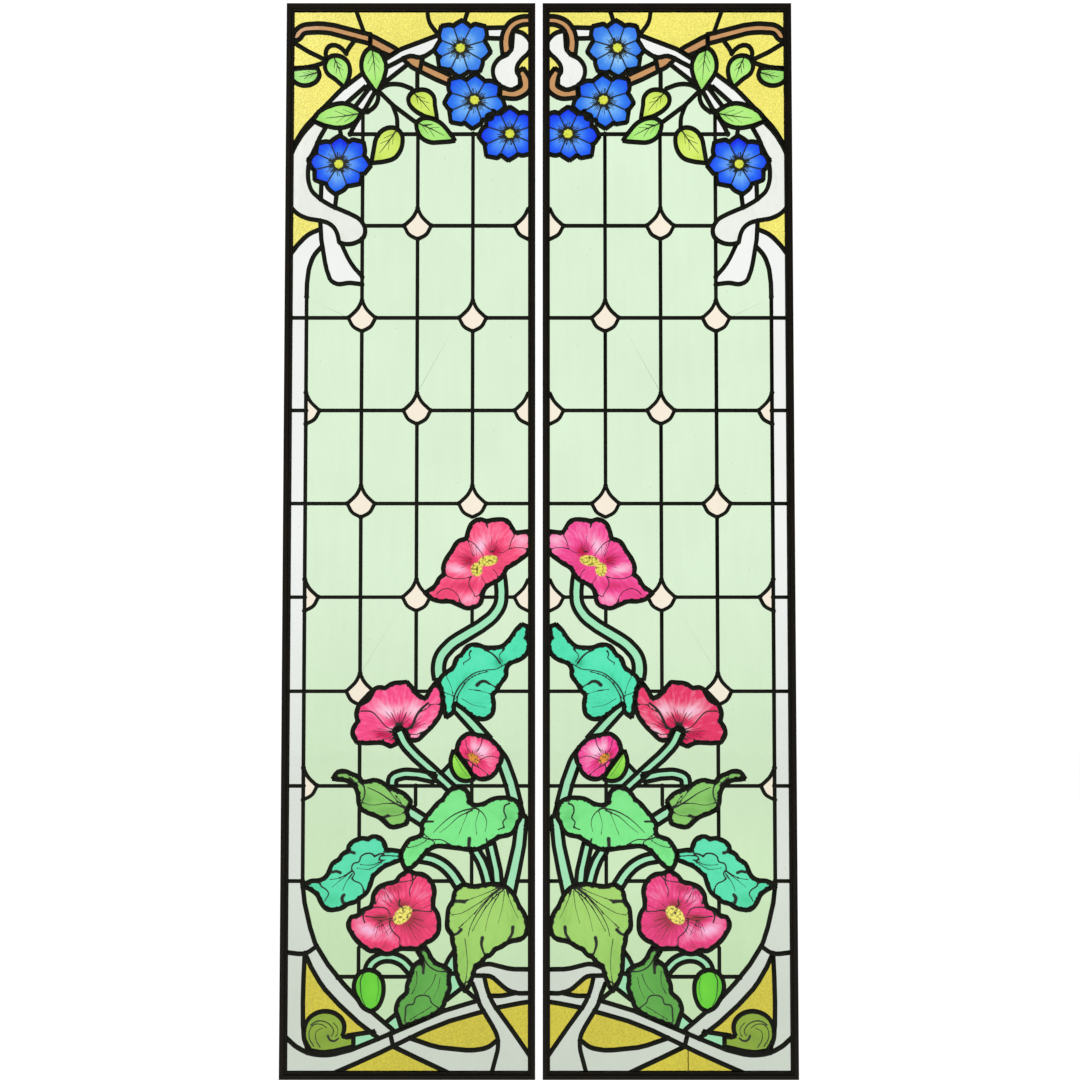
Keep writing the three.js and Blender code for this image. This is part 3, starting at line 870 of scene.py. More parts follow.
def paintGroup():
    # fired paint on coloured glass: washes, streaks that spray from one point, stamens and lines
    tree, given, out = groupOf(
        "firedPaint",
        [
            ("Place", "vector", (0, 0, 0)), ("Spray", "vector", (0, 0, 0)),
            ("Glass", "colour", (1, 1, 1, 1)), ("Pale", "colour", (1, 1, 1, 1)),
            ("Deep", "colour", (0, 0, 0, 1)), ("Stamens", "colour", (1, 1, 0, 1)),
            ("Heads", "colour", (0, 0, 0, 1)),
            ("Shade", "value", 0.0), ("Ink", "value", 9.0), ("Pollen", "value", 0.0),
            ("Streaks", "value", 0.4),
        ],
        [("Colour", "colour"), ("Painted", "value")],
    )
    place = given.outputs["Place"]
    fan = stretched(tree, given.outputs["Spray"], (9.0, 9.0, 2.2))
    drift = swingOf(tree, noiseIn(tree, fan, 1.0, 3.0, 0.6), given.outputs["Streaks"])
    tone = mathIn(tree, "ADD", given.outputs["Shade"], drift)
    paler = mixIn(tree, mathIn(tree, "MAXIMUM", tone, 0.0, True), given.outputs["Glass"],
                  given.outputs["Pale"])
    deeper = mixIn(tree, mathIn(tree, "MULTIPLY", tone, -1.35, True), paler, given.outputs["Deep"])
    # stamens: small round heads outlined in paint
    heads = nodeIn(tree, "ShaderNodeTexVoronoi", {"Vector": place, "Scale": 230.0})
    rim = rangeIn(tree, heads.outputs["Distance"], 0.5, 0.8)
    dots = mixIn(tree, rim, given.outputs["Stamens"], given.outputs["Heads"])
    pollen = rangeIn(tree, given.outputs["Pollen"], 0.42, 0.58)
    dusted = mixIn(tree, pollen, deeper, dots)
    wobble = swingOf(tree, noiseIn(tree, place, 420.0, 1.0), 0.5)
    line = mathIn(tree, "ADD", given.outputs["Ink"], wobble)
    drawn = rangeIn(tree, line, 0.7, 1.25, (1.0, 0.0), True)
    inked = mixIn(tree, drawn, dusted, rgb(20, 22, 14))
    feed(tree, out, {"Colour": inked, "Painted": drawn})
    return tree


def leadGroup():
    # oxidised lead: dull film, white bloom and dirt in the grain
    tree, given, out = groupOf(
        "oldLead",
        [("Place", "vector", (0, 0, 0)), ("Base", "colour", (0, 0, 0, 1)),
         ("Bloom", "colour", (0, 0, 0, 1)), ("Grain", "value", 1.0)],
        [("Colour", "colour"), ("Roughness", "value"), ("Normal", "vector")],
    )
    place = given.outputs["Place"]
    broad, fine = noiseIn(tree, place, 18.0, 5.0, 0.65), noiseIn(tree, place, 420.0, 4.0)
    film = rangeIn(tree, broad, 0.45, 0.75)
    spotted = mathIn(tree, "MULTIPLY", film, rangeIn(tree, fine, 0.4, 0.7))
    relief = mathIn(tree, "ADD", broad, mathIn(tree, "MULTIPLY", fine, 0.4))
    strength = mathIn(tree, "MULTIPLY", given.outputs["Grain"], 0.5)
    feed(tree, out, {
        "Colour": mixIn(tree, spotted, given.outputs["Base"], given.outputs["Bloom"]),
        "Roughness": rangeIn(tree, broad, 0.3, 0.7, (0.52, 0.78)),
        "Normal": bumpIn(tree, relief, strength, 0.0006),
    })
    return tree


glassTree, paintTree, leadTree = glassGroup(), paintGroup(), leadGroup()


def startMaterial(name):
    material = bpy.data.materials.new(name)
    material.use_nodes = True
    tree = material.node_tree
    shader = tree.nodes["Principled BSDF"]
    place = tree.nodes.new("ShaderNodeTexCoord").outputs["Object"]
    return material, tree, shader, place


def glassMaterial(name, tint, foot, mottle=0.08, hammer=0.0, wave=0.3, paint=None):
    material, tree, shader, place = startMaterial(name)
    sheet = nodeIn(tree, "ShaderNodeGroup", {
        "Place": place, "Tint": tint, "Foot": foot, "Mottle": mottle, "Hammer": hammer,
        "Wave": wave}, node_tree=glassTree)
    colour, rough = sheet.outputs["Colour"], sheet.outputs["Roughness"]
    if paint:
        # the mesh carries the painting: lines, washes, stamens and the way of the brush
        carried = {
            key: nodeIn(tree, "ShaderNodeAttribute", {}, attribute_name=key.lower()).outputs[
                "Vector" if key == "Spray" else "Fac"]
            for key in ("Spray", "Shade", "Ink", "Pollen")}
        fired = nodeIn(tree, "ShaderNodeGroup", {"Place": place, "Glass": colour} | paint | carried,
                       node_tree=paintTree)
        colour = fired.outputs["Colour"]
        rough = mathIn(tree, "ADD", rough, mathIn(tree, "MULTIPLY", fired.outputs["Painted"], 0.4))
    feed(tree, shader, {
        "Base Color": colour, "Roughness": rough, "Normal": sheet.outputs["Normal"],
        "Transmission Weight": 1.0, "IOR": 1.5})
    return material


def metalMaterial(name, base, bloom, metallic, grain):
    material, tree, shader, place = startMaterial(name)
    skin = nodeIn(tree, "ShaderNodeGroup", {
        "Place": place, "Base": base, "Bloom": bloom, "Grain": grain}, node_tree=leadTree)
    feed(tree, shader, {
        "Base Color": skin.outputs["Colour"], "Roughness": skin.outputs["Roughness"],
        "Normal": skin.outputs["Normal"], "Metallic": metallic, "Specular IOR Level": 0.2})
    return material


groundGlass = {
    "yellow": dict(tint=rgb(238, 228, 112), foot=rgb(196, 184, 46), mottle=0.25, hammer=0.85),
    "pale": dict(tint=rgb(218, 239, 210), foot=rgb(186, 214, 168), mottle=0.10, wave=0.4),
    "white": dict(tint=rgb(238, 241, 238), foot=rgb(196, 204, 192), mottle=0.08, wave=0.3),
    "cream": dict(tint=rgb(245, 235, 216), foot=rgb(235, 226, 205), mottle=0.08, wave=0.3),
    "mint": dict(tint=rgb(160, 230, 186), foot=rgb(146, 212, 166), mottle=0.12, wave=0.3),
    "brown": dict(tint=rgb(198, 148, 98), foot=rgb(180, 132, 84), mottle=0.25, wave=0.5),
}
materials = {kind: glassMaterial("glass_" + kind, **values) for kind, values in groundGlass.items()}
# the lead's dark patina, made near-black with an olive tint: painted shade of a backlit came and painted
# light bleeding round it
materials["lead"] = metalMaterial("lead", rgb(17, 19, 7), rgb(46, 48, 32), 0.05, 1.0)
materials["frame"] = metalMaterial("frame", rgb(22, 17, 8), rgb(50, 42, 27), 0.05, 0.6)
print("stage: materials made")


# Meshes
def faceOutwards(bm):
    # recalculated normals; a thin pane that comes out of it inside out is turned
    bmesh.ops.recalc_face_normals(bm, faces=bm.faces[:])
    bm.normal_update()
    seen = set()
    for face in bm.faces[:]:
        if face in seen:
            continue
        seen.add(face)
        island = [face]
        for here in island:
            for edge in here.edges:
                for other in edge.link_faces:
                    if other not in seen:
                        seen.add(other)
                        island.append(other)
        start = face.calc_center_median()
        volume = sum((f.calc_center_median() - start).dot(f.normal) * f.calc_area() for f in island)
        if volume < 0:
            bmesh.ops.reverse_faces(bm, faces=island)


def meshOf(bm, name):
    mesh = bpy.data.meshes.new(name)
    bm.to_mesh(mesh)
    bm.free()
    return mesh


def objectOf(name, data):
    made = bpy.data.objects.new(name, data)
    scene.collection.objects.link(made)
    return made


def finished(bm, name, material, node, smooth=0.0):
    # a piece of the window, which stands in for a node of the solids
    faceOutwards(bm)
    mesh = meshOf(bm, name)
    mesh.materials.clear()
    mesh.materials.append(material)
    if smooth:
        mesh.shade_smooth()
        mesh.set_sharp_from_angle(angle=math.radians(smooth))
    piece = objectOf(name, mesh)
    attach(piece, "root")
    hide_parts(node)
    return piece


def mirroredPiece(piece, name, node, material=None):
    # the same piece on the right leaf
    bm = bmesh.new()
    bm.from_mesh(piece.data)
    bmesh.ops.transform(bm, matrix=Matrix.Scale(-1, 4, (1, 0, 0)), verts=bm.verts[:])
    bmesh.ops.remove_doubles(bm, verts=bm.verts[:], dist=1e-7)
    return finished(bm, name, material or piece.data.materials[0], node)


def thickened(bm, faces, depth):
    # a flat sheet given its thickness along Y, in millimetres
    raised = bmesh.ops.extrude_face_region(bm, geom=faces, use_keep_orig=True)
    moved = [v for v in raised["geom"] if isinstance(v, bmesh.types.BMVert)]
    bmesh.ops.translate(bm, verts=moved, vec=(0, depth / 1000, 0))


def groundPanes(kind):
    # all panes of one kind: each cell drawn in by the came's heart and given its thickness
    bm = bmesh.new()
    glass = leafSizes["glass"]
    for number, cell in enumerate(cells):
        if kinds[number] != kind:
            continue
        used = sorted({i for face in cell for i in face})
        verts = {i: bm.verts.new(placed(at[i].x, at[i].y, glass / 2)) for i in used}
        faces = [bm.faces.new([verts[i] for i in face]) for face in cell]
        bmesh.ops.recalc_face_normals(bm, faces=faces)
        rim = bmesh.ops.inset_region(
            bm, faces=faces, thickness=cameSizes["heart"] / 2000, depth=0.0,
            use_boundary=True, use_even_offset=False)
        bmesh.ops.delete(bm, geom=rim["faces"], context="FACES")
        thickened(bm, [face for face in faces if face.is_valid], -glass)
    return bm


for kind in groundGlass:
    left = finished(groundPanes(kind), "left_panes_" + kind, materials[kind], "left_leadwork")
    mirroredPiece(left, "right_panes_" + kind, "right_leadwork")
print("stage: ground glass")


# Painted glass
def inOval(points, centre, wide, tall, turn):
    # points in the measure of an oval: 1 is its edge along either of its axes
    way = math.radians(turn)
    du, dz = points[:, 0] - centre[0], points[:, 1] - centre[1]
    along = (du * math.cos(way) + dz * math.sin(way)) / wide
    over = (-du * math.sin(way) + dz * math.cos(way)) / tall
    return along, over


def washes(*marks):
    # soft round washes of light and shade: centre, half-widths, turn in degrees, strength
    def measured(points):
        total = np.zeros(len(points))
        for u, z, wide, tall, turn, strength in marks:
            along, over = inOval(points, (u, z), wide, tall, turn)
            total += strength * np.exp(-(along ** 2 + over ** 2))
        return total
    return measured


def disc(centre, wide, tall, turn=0.0):
    # 1 in the middle of an oval, 0.5 on its edge
    return lambda points: np.clip(1.5 - np.hypot(*inOval(points, centre, wide, tall, turn)), 0, 1)


def arc(centre, radius, start, end, count):
    return [polar(centre, radius, math.radians(start + (end - start) * i / count))
            for i in range(count + 1)]


def rays(centre, turns, start, lengths, width):
    # tapered brush strokes that spread from a point
    made = []
    for i, turn in enumerate(turns):
        way = math.radians(turn)
        ends = [polar(centre, start, way), polar(centre, start + lengths[i % len(lengths)], way)]
        made.append((ends, width, 0.3))
    return made


raggedEdges = {
    "poppy_high", "poppy_side", "poppy_bud", "poppy_low", "leaf_teal_high", "leaf_olive",
    "leaf_bright", "leaf_teal_low", "leaf_veined", "leaf_dark",
}
brush = {"leafPress": 1.3, "press": 1.1, "step": 2.6, "pitch": 3.6, "fromEdge": 1.2, "fromStroke": 0.9}


def netOf(ring, segments):
    # points in rows inside an outline, clear of its edge and of the strokes
    pitch, rise = brush["pitch"], 0.866
    low, high = arrayOf(ring).min(0), arrayOf(ring).max(0)
    grid = []
    for row in range(int((high[1] - low[1]) / pitch / rise) + 1):
        for column in range(int((high[0] - low[0]) / pitch) + 1):
            grid.append((low[0] + (column + 0.5 * (row % 2)) * pitch, low[1] + row * pitch * rise))
    grid = np.array(grid)
    grid = grid[insideOf(grid, ring)]
    grid = grid[distanceTo(grid, np.array(segmentsOf(ring, True)))[0].min(1) > brush["fromEdge"]]
    return grid[distanceTo(grid, segments)[0].min(1) > brush["fromStroke"]]


def paintedPane(name, strokes, centre, shade, pollen):
    # one pane with its painting carried by the points of its mesh
    edge = edges[name]
    outline = grown(edge, cameSizes["underFlange"])
    ring = [Vector((min(p.x, panel["right"]), p.y)) for p in outline]
    points = [Vector((p.x, p.y)) for p in ring]
    sides = [(i, (i + 1) % len(ring)) for i in range(len(ring))]
    press = brush["leafPress"] if "leaf" in name else brush["press"]
    segments, halves = [], []
    for bends, start, end in strokes:
        line = joinedUp(smoothed(bends, brush["step"], 70.0))
        start, end = press * start / 2, press * end / 2
        segments += segmentsOf(line)
        steps = len(line) - 1
        for i in range(steps):
            halves.append((start + (end - start) * i / steps, start + (end - start) * (i + 1) / steps))
        first = len(points)
        points += [Vector((p.x, p.y)) for p in line]
        sides += [(first + i, first + i + 1) for i in range(steps)]
    segments, halves = np.array(segments or [((0, -99), (0, -98))]), np.array(halves or [(1, 1)])
    points += [Vector(p) for p in netOf(ring, segments)]

    def inkAt(places):
        # how many half-widths each place lies from the nearest stroke
        away, along = distanceTo(places, segments)
        width = halves[None, :, 0] + (halves[None, :, 1] - halves[None, :, 0]) * along
        return np.minimum((away / width).min(1), 12.0)

    def joined():
        flat, _, faces, _, _, _ = delaunay_2d_cdt(points, sides, [], 0, 1e-3, False)
        places = arrayOf(flat)
        inside = insideOf(places[np.array(faces)].mean(1), ring)
        return places, [face for face, hit in zip(faces, inside) if hit]

    # a first mesh shows where two strokes touch with clear glass between them
    where, kept = joined()
    spans = {tuple(sorted(pair)) for face in kept for pair in sidesOf(face)}
    spans = np.array(sorted(spans))
    halfway = (where[spans[:, 0]] + where[spans[:, 1]]) / 2
    blind = (inkAt(where)[spans].max(1) < 0.6) & (inkAt(halfway) > 1.2)
    points += [Vector(p) for p in halfway[blind]]
    where, kept = joined()
    used = sorted({i for face in kept for i in face})
    where = where[used]
    ink = inkAt(where)
    if name in raggedEdges:
        # the painter's dark, uneven edge
        gaps, _ = distanceTo(where, np.array(segmentsOf(edge, True)))
        wide = 1.0 + 1.5 * np.maximum(0, np.sin(gaps.argmin(1) * 1.9 + 0.4 * np.sin(where[:, 0])))
        ink = np.minimum(ink, np.where(insideOf(where, edge), gaps.min(1) / wide, 0.0))
    du, dz = where[:, 0] - centre[0], where[:, 1] - centre[1]
    far = np.maximum(np.hypot(du, dz), 1e-6)
    bm = bmesh.new()
    layers = {key: bm.verts.layers.float.new(key) for key in ("ink", "shade", "pollen")}
    sprayLayer = bm.verts.layers.float_vector.new("spray")
    tones = shade(where)
    dust = pollen(where) if pollen else np.zeros(len(where))
    glass = leafSizes["glass"]
    verts = {}
    for n, i in enumerate(used):
        vert = bm.verts.new(placed(where[n][0], where[n][1], -glass / 2))
        vert[layers["ink"]] = float(ink[n])
        vert[layers["shade"]] = float(tones[n])
        vert[layers["pollen"]] = float(dust[n])
        vert[sprayLayer] = (du[n] / far[n], dz[n] / far[n], far[n] / 50)
        verts[i] = vert
    thickened(bm, [bm.faces.new([verts[i] for i in face]) for face in kept], glass)
    return bm


def flower(name):
    # clematis: dark seams between the petals that open at the rim, streaks from a dotted eye
    centre, tips = petals[name]
    s = clematisShape
    strokes = []
    for turn, reach, seam, low in petalsOf(tips):
        inner, middle, outer = (
            polar(centre, far, seam) for far in (s["eye"], s["throat"], low + s["pastNotch"]))
        atEye, atThroat, atRim = s["seams"]
        strokes.append(([inner, middle], atEye, atThroat))
        strokes.append(([middle, outer], atThroat, atRim))
        for share, length, width in s["streaks"]:
            way = math.radians(turn + share * 45)
            size = length * (1 + 0.18 * math.sin(turn * 7.0 + share * 40))
            ends = [polar(centre, s["eye"], way), polar(centre, s["eye"] + size, way)]
            strokes.append((ends, width, 0.35))
    radius, width = s["ring"]
    strokes.append((arc(centre, radius, 0, 360, 18), width, width))

    def shade(points):
        # light at the throat, deep at the rim, each petal a little different
        du, dz = points[:, 0] - centre[0], points[:, 1] - centre[1]
        far = np.hypot(du, dz)
        turn = np.degrees(np.arctan2(dz, du))
        total = np.zeros(len(points))
        nearest = np.full(len(points), 999.0)
        for tip, reach in sorted(tips):
            away = np.abs((turn - tip + 180) % 360 - 180)
            near = away < nearest
            nearest = np.where(near, away, nearest)
            share = far / reach
            lift = math.sin(math.radians(tip) * 3 + centre[0]) * 0.18
            tone = np.interp(share, [0.2, 0.5, 0.72, 1.05], [0.9, 0.6, 0.05, -0.7])
            below = 0.25 * -math.sin(math.radians(tip))
            total = np.where(near, tone + lift + below - 0.01 * away, total)
        return total

    return strokes, centre, shade, disc(centre, *s["stamens"])


def leafVein(stalk, tip):
    # a mid-vein with two pairs of fine side strokes
    stalk, tip = Vector(stalk), Vector(tip)
    way = tip - stalk
    side = Vector((-way.y, way.x)).normalized()
    strokes = [([tuple(stalk), tuple(stalk + way * 0.4 + side * 0.8), tuple(stalk + way * 0.78)],
                2.2, 0.5)]
    for i in range(2):
        start = stalk + way * (0.1 + 0.2 * i)
        for sign in (1, -1):
            end = start + way * 0.26 + side * sign * way.length * 0.15
            strokes.append(([tuple(start), tuple(end)], 0.7, 0.2))
    return strokes


smallLeaves = {
    "leaf_border": ((57, 1916), (14, 1906)),
    "leaf_by_branch": ((91, 1945), (110, 1896)),
    "leaf_on_ribbon": ((164, 1962), (172, 1886)),
    "leaf_under_ribbon": ((139, 1836), (58, 1825)),
    "leaf_lime_high": ((245, 1876), (284, 1832)),
    "leaf_by_clematis": ((254, 1817), (316, 1787)),
    "leaf_lime_low": ((210, 1802), (170, 1747)),
}

# Each painting: strokes with their widths at both ends, the point they spray from, washes, stamens
painted = {name: flower(name) for name in petals}
for name, (stalk, tip) in smallLeaves.items():
    mid = ((stalk[0] + tip[0]) / 2, (stalk[1] + tip[1]) / 2)
    painted[name] = (
        leafVein(stalk, tip), stalk,
        washes((*stalk, 20, 20, 0, -0.35), (*mid, 16, 16, 0, 0.35), (*tip, 16, 16, 0, -0.25)), None)


painted["poppy_high"] = (
    [
        ([(350, 1013), (362, 1006), (372, 994), (380, 983)], 1.8, 1.2),
        ([(350, 1013), (356, 996), (361, 984)], 1.2, 0.6),
        ([(306, 948), (320, 941), (342, 940), (358, 944)], 1.8, 1.2),
        ([(438, 1022), (432, 1010), (429, 996), (440, 999), (462, 997)], 1.6, 1.2),
        ([(428, 997), (418, 990), (408, 989)], 1.2, 0.8),
        ([(291, 910), (300, 918), (310, 921), (322, 917), (331, 908), (337, 894)], 1.6, 1.2),
        ([(356, 944), (352, 930), (360, 914), (364, 905), (370, 908), (380, 920)], 1.8, 1.0),
        ([(398, 958), (405, 948), (408, 940)], 1.4, 0.8),
        ([(376, 944), (384, 930)], 1.2, 0.6),
        ([(384, 1046), (388, 1036)], 1.2, 0.5),
        *rays((368, 972), [96, 110, 124, 150, 163, 176, 189, 201], 12, [16, 22, 14, 20, 26, 18], 0.9),
        *rays((396, 984), [60, 72, 82, 92, 102, 112, 125], 6, [14, 26, 20, 32, 18], 0.9),
    ],
    (378, 968),
    washes(
        (372, 1000, 12, 20, -30, 0.95), (330, 958, 22, 9, -8, 0.9), (452, 1012, 16, 14, 0, 0.7),
        (352, 901, 16, 12, 0, 0.55), (352, 975, 16, 13, 0, -0.9), (402, 992, 13, 12, 0, -0.85),
        (345, 925, 20, 9, 0, -0.5), (405, 1030, 30, 20, 0, 0.15), (300, 908, 20, 12, 0, -0.25),
        (410, 960, 22, 14, 40, -0.2)),
    lambda points: np.maximum(disc((367, 957), 11, 13)(points), disc((389, 974), 19, 10, 10)(points)),
)
painted["poppy_side"] = (
    [
        ([(232, 652), (246, 662), (250, 672), (256, 684), (264, 694), (276, 704)], 5.0, 4.0),
        ([(149, 689), (170, 687), (182, 676), (196, 660), (212, 652)], 2.6, 1.6),
        ([(212, 652), (205, 640), (192, 636)], 1.4, 0.8),
        ([(262, 688), (274, 694), (280, 700), (296, 702)], 1.4, 0.8),
        ([(238, 646), (252, 645), (266, 650)], 1.2, 0.6),
        ([(204, 634), (212, 640), (220, 640)], 1.6, 1.0),
        *rays((221, 658), [40, 52, 64, 76, 86, 96, 107, 118, 130, 142], 6, [22, 30, 26, 34, 28], 1.3),
        *rays((212, 650), [168, 178, 188, 198], 6, [28, 36, 24], 1.2),
        *rays((240, 654), [20, 34, 48], 4, [30, 22], 1.2),
    ],
    (219, 655),
    washes(
        (221, 668, 17, 11, 0, -1.2), (192, 645, 18, 7, 0, -1.0), (214, 634, 12, 6, 0, -0.9),
        (196, 686, 26, 12, -30, 0.75), (250, 690, 12, 18, -20, 0.7), (222, 692, 30, 12, 0, 0.4),
        (206, 655, 12, 5, 30, 0.9), (262, 650, 20, 7, 30, 0.8), (246, 660, 10, 7, 30, -0.9),
        (160, 655, 20, 22, 0, -0.1), (282, 680, 10, 22, -30, 0.15)),
    None,
)
painted["poppy_bud"] = (
    [
        ([(378, 637), (374, 622), (366, 612)], 1.6, 1.2),
        ([(374, 597), (384, 602), (396, 604), (407, 600)], 1.6, 1.0),
        ([(346, 634), (349, 622), (352, 612)], 1.4, 1.0),
        ([(350, 598), (360, 590), (372, 582), (384, 574), (391, 567)], 1.4, 1.0),
        *rays((362, 600), [20, 40, 60, 80, 100, 120, 150, 200, 260, 300, 330], 8, [10, 7, 12], 1.0),
    ],
    (362, 600),
    washes(
        (380, 614, 14, 12, 30, 1.0), (362, 622, 8, 12, 0, 0.7), (392, 592, 12, 10, 0, 0.3),
        (352, 606, 8, 10, 40, -0.7), (376, 592, 14, 6, -40, -0.6)),
    disc((362, 600), 12.5, 7.5, -42),
)
painted["bud_sepal"] = (
    [([(326, 604), (334, 590), (342, 577), (352, 565)], 1.0, 0.5)], (340, 566),
    washes((330, 598, 9, 14, -30, 0.5), (344, 566, 14, 7, 0, -0.4)), None)
painted["poppy_low"] = (
    [
        ([(172, 320), (186, 321), (200, 317), (206, 306)], 2.4, 1.6),
        ([(205, 300), (206, 284), (214, 272), (223, 264), (224, 250)], 2.4, 1.6),
        ([(248, 316), (262, 314), (284, 312)], 2.2, 1.4),
        ([(246, 382), (248, 370), (242, 352), (243, 340)], 2.4, 1.4),
        ([(218, 367), (236, 369), (252, 374), (256, 381)], 1.8, 1.2),
        ([(160, 304), (176, 302), (196, 302)], 2.2, 1.2),
        ([(158, 314), (155, 302), (158, 292)], 2.0, 2.6),
        ([(224, 334), (222, 326), (229, 320)], 3.0, 2.0),
        *rays((228, 308), [100, 115, 130, 145], 26, [20, 28, 16], 0.8),
        *rays((229, 306), [195, 206, 216, 226, 236, 300, 315, 330, 345, 20, 40], 20, [22, 34, 16, 28], 0.8),
        *rays((192, 362), [235, 250, 265, 280, 295, 312], 4, [26, 34, 20], 0.9),
        *rays((186, 302), [245, 258, 270, 282, 295], 6, [24, 32, 20], 0.9),
    ],
    (228, 306),
    washes(
        (165, 278, 22, 14, -30, 0.95), (205, 275, 9, 22, 10, 0.5), (200, 340, 18, 12, 30, 0.55),
        (190, 300, 22, 8, 0, -1.0), (212, 355, 16, 8, 20, -0.6), (260, 342, 16, 18, 0, 0.2),
        (240, 300, 26, 22, 0, -0.75), (262, 272, 22, 16, 0, -0.2), (228, 326, 18, 10, 0, -0.6),
        (196, 248, 24, 9, 0, -0.3)),
    disc((229, 306), 21, 13, 45),
)
painted["leaf_teal_high"] = (
    [
        ([(323, 702), (325, 716), (333, 733), (346, 748), (362, 760), (384, 766), (406, 769),
          (420, 777)], 2.6, 1.2),
        ([(329, 702), (332, 718), (340, 733), (352, 748), (372, 759), (388, 763)], 2.2, 0.6),
        ([(368, 738), (375, 744), (384, 745), (390, 741)], 6.0, 3.6),
        ([(390, 741), (398, 737), (406, 731)], 2.2, 1.4),
        ([(357, 803), (353, 796), (355, 790), (349, 784), (342, 780), (343, 776)], 2.0, 1.2),
        ([(382, 804), (394, 799), (404, 790), (412, 779)], 2.2, 3.2),
        ([(300, 726), (312, 722), (322, 718)], 1.4, 0.6),
        ([(311, 752), (318, 738), (322, 720)], 1.0, 0.5),
        ([(352, 730), (372, 727), (392, 722)], 1.0, 0.3), ([(340, 712), (362, 700), (384, 696)], 1.0, 0.3),
        ([(420, 806), (410, 792), (416, 782)], 1.6, 1.0),
    ],
    (323, 702),
    washes(
        (370, 785, 34, 16, 20, 0.3), (342, 742, 10, 26, -30, -0.3), (408, 782, 12, 10, 0, -0.6),
        (440, 816, 20, 18, 30, -0.1), (372, 700, 22, 18, 0, -0.15)), None)
painted["leaf_olive"] = (
    [
        ([(238, 504), (222, 511), (205, 521), (184, 535), (162, 545)], 3.2, 1.0),
        ([(236, 507), (214, 514), (196, 515), (170, 512), (154, 516)], 1.8, 0.6),
        ([(236, 506), (216, 522), (206, 534), (198, 543)], 1.6, 0.5),
        ([(226, 514), (222, 522), (214, 530)], 1.2, 0.4),
        ([(145, 556), (154, 549), (157, 536), (153, 520), (149, 512)], 2.6, 1.6),
        ([(128, 564), (138, 556), (144, 548)], 1.4, 0.8),
        ([(193, 489), (201, 492)], 4.4, 5.0),
        ([(204, 491), (220, 493), (232, 498)], 1.2, 0.4),
    ],
    (238, 506),
    washes(
        (180, 542, 30, 10, -20, 0.35), (205, 500, 30, 10, 0, -0.35), (124, 568, 22, 8, -20, -0.2),
        (214, 484, 18, 9, 0, 0.15), (158, 520, 10, 16, 0, -0.4)), None)
painted["leaf_bright"] = (
    [
        ([(364, 506), (344, 502), (322, 492), (304, 478), (286, 460)], 2.6, 0.8),
        ([(360, 502), (334, 490), (314, 472), (298, 460)], 1.8, 0.5),
        ([(366, 506), (378, 498), (386, 484), (384, 462)], 2.0, 0.6),
        ([(352, 500), (342, 476), (334, 456)], 1.0, 0.4), ([(372, 500), (366, 478), (368, 456)], 1.0, 0.3),
        ([(430, 515), (422, 512), (419, 500), (423, 488), (417, 480), (420, 470), (408, 466)], 2.6, 1.8),
        ([(258, 456), (270, 450), (284, 447), (300, 447), (310, 443), (318, 437)], 2.4, 1.2),
        ([(262, 462), (276, 452), (288, 442)], 1.4, 0.8),
        ([(240, 432), (256, 436), (272, 444)], 1.0, 0.5),
        ([(274, 481), (286, 481)], 3.4, 3.0),
        ([(353, 434), (354, 449)], 5.0, 6.0), ([(388, 438), (386, 449)], 3.0, 2.4),
    ],
    (364, 508),
    washes(
        (330, 515, 22, 20, 0, 0.25), (430, 490, 16, 26, 0, -0.35), (262, 440, 26, 12, 20, -0.25),
        (300, 462, 22, 16, 40, 0.1), (372, 470, 22, 24, 0, 0.1)), None)
painted["leaf_teal_low"] = (
    [
        ([(193, 421), (184, 420), (176, 415), (172, 420), (160, 421), (150, 415), (147, 406), (136, 402),
          (133, 392), (138, 384), (133, 374), (140, 369), (148, 366), (154, 358), (155, 350)], 2.6, 1.8),
        ([(184, 409), (186, 415), (196, 417), (220, 416)], 2.2, 1.2),
        ([(184, 409), (196, 409)], 2.0, 1.0),
        ([(73, 366), (76, 360), (85, 354), (90, 346), (86, 338), (83, 332)], 2.4, 1.4),
        ([(132, 388), (112, 376), (92, 372)], 2.0, 0.5), ([(131, 386), (108, 368), (96, 358)], 1.4, 0.4),
        ([(134, 384), (122, 366), (116, 352)], 1.4, 0.4), ([(192, 408), (172, 400), (150, 400)], 1.6, 0.5),
        ([(188, 404), (166, 392), (142, 394)], 1.2, 0.4),
        ([(122, 425), (132, 424), (138, 422)], 3.0, 5.0),
        ([(97, 386), (104, 388), (112, 385)], 4.0, 4.6), ([(117, 330), (115, 338), (119, 344)], 5.4, 5.0),
    ],
    (192, 410),
    washes(
        (160, 436, 30, 10, 0, 0.3), (112, 395, 20, 14, 40, 0.15), (95, 334, 16, 12, 0, -0.5),
        (70, 358, 16, 8, 0, -0.3), (150, 385, 20, 18, 40, -0.1), (175, 402, 16, 8, 20, -0.3)), None)
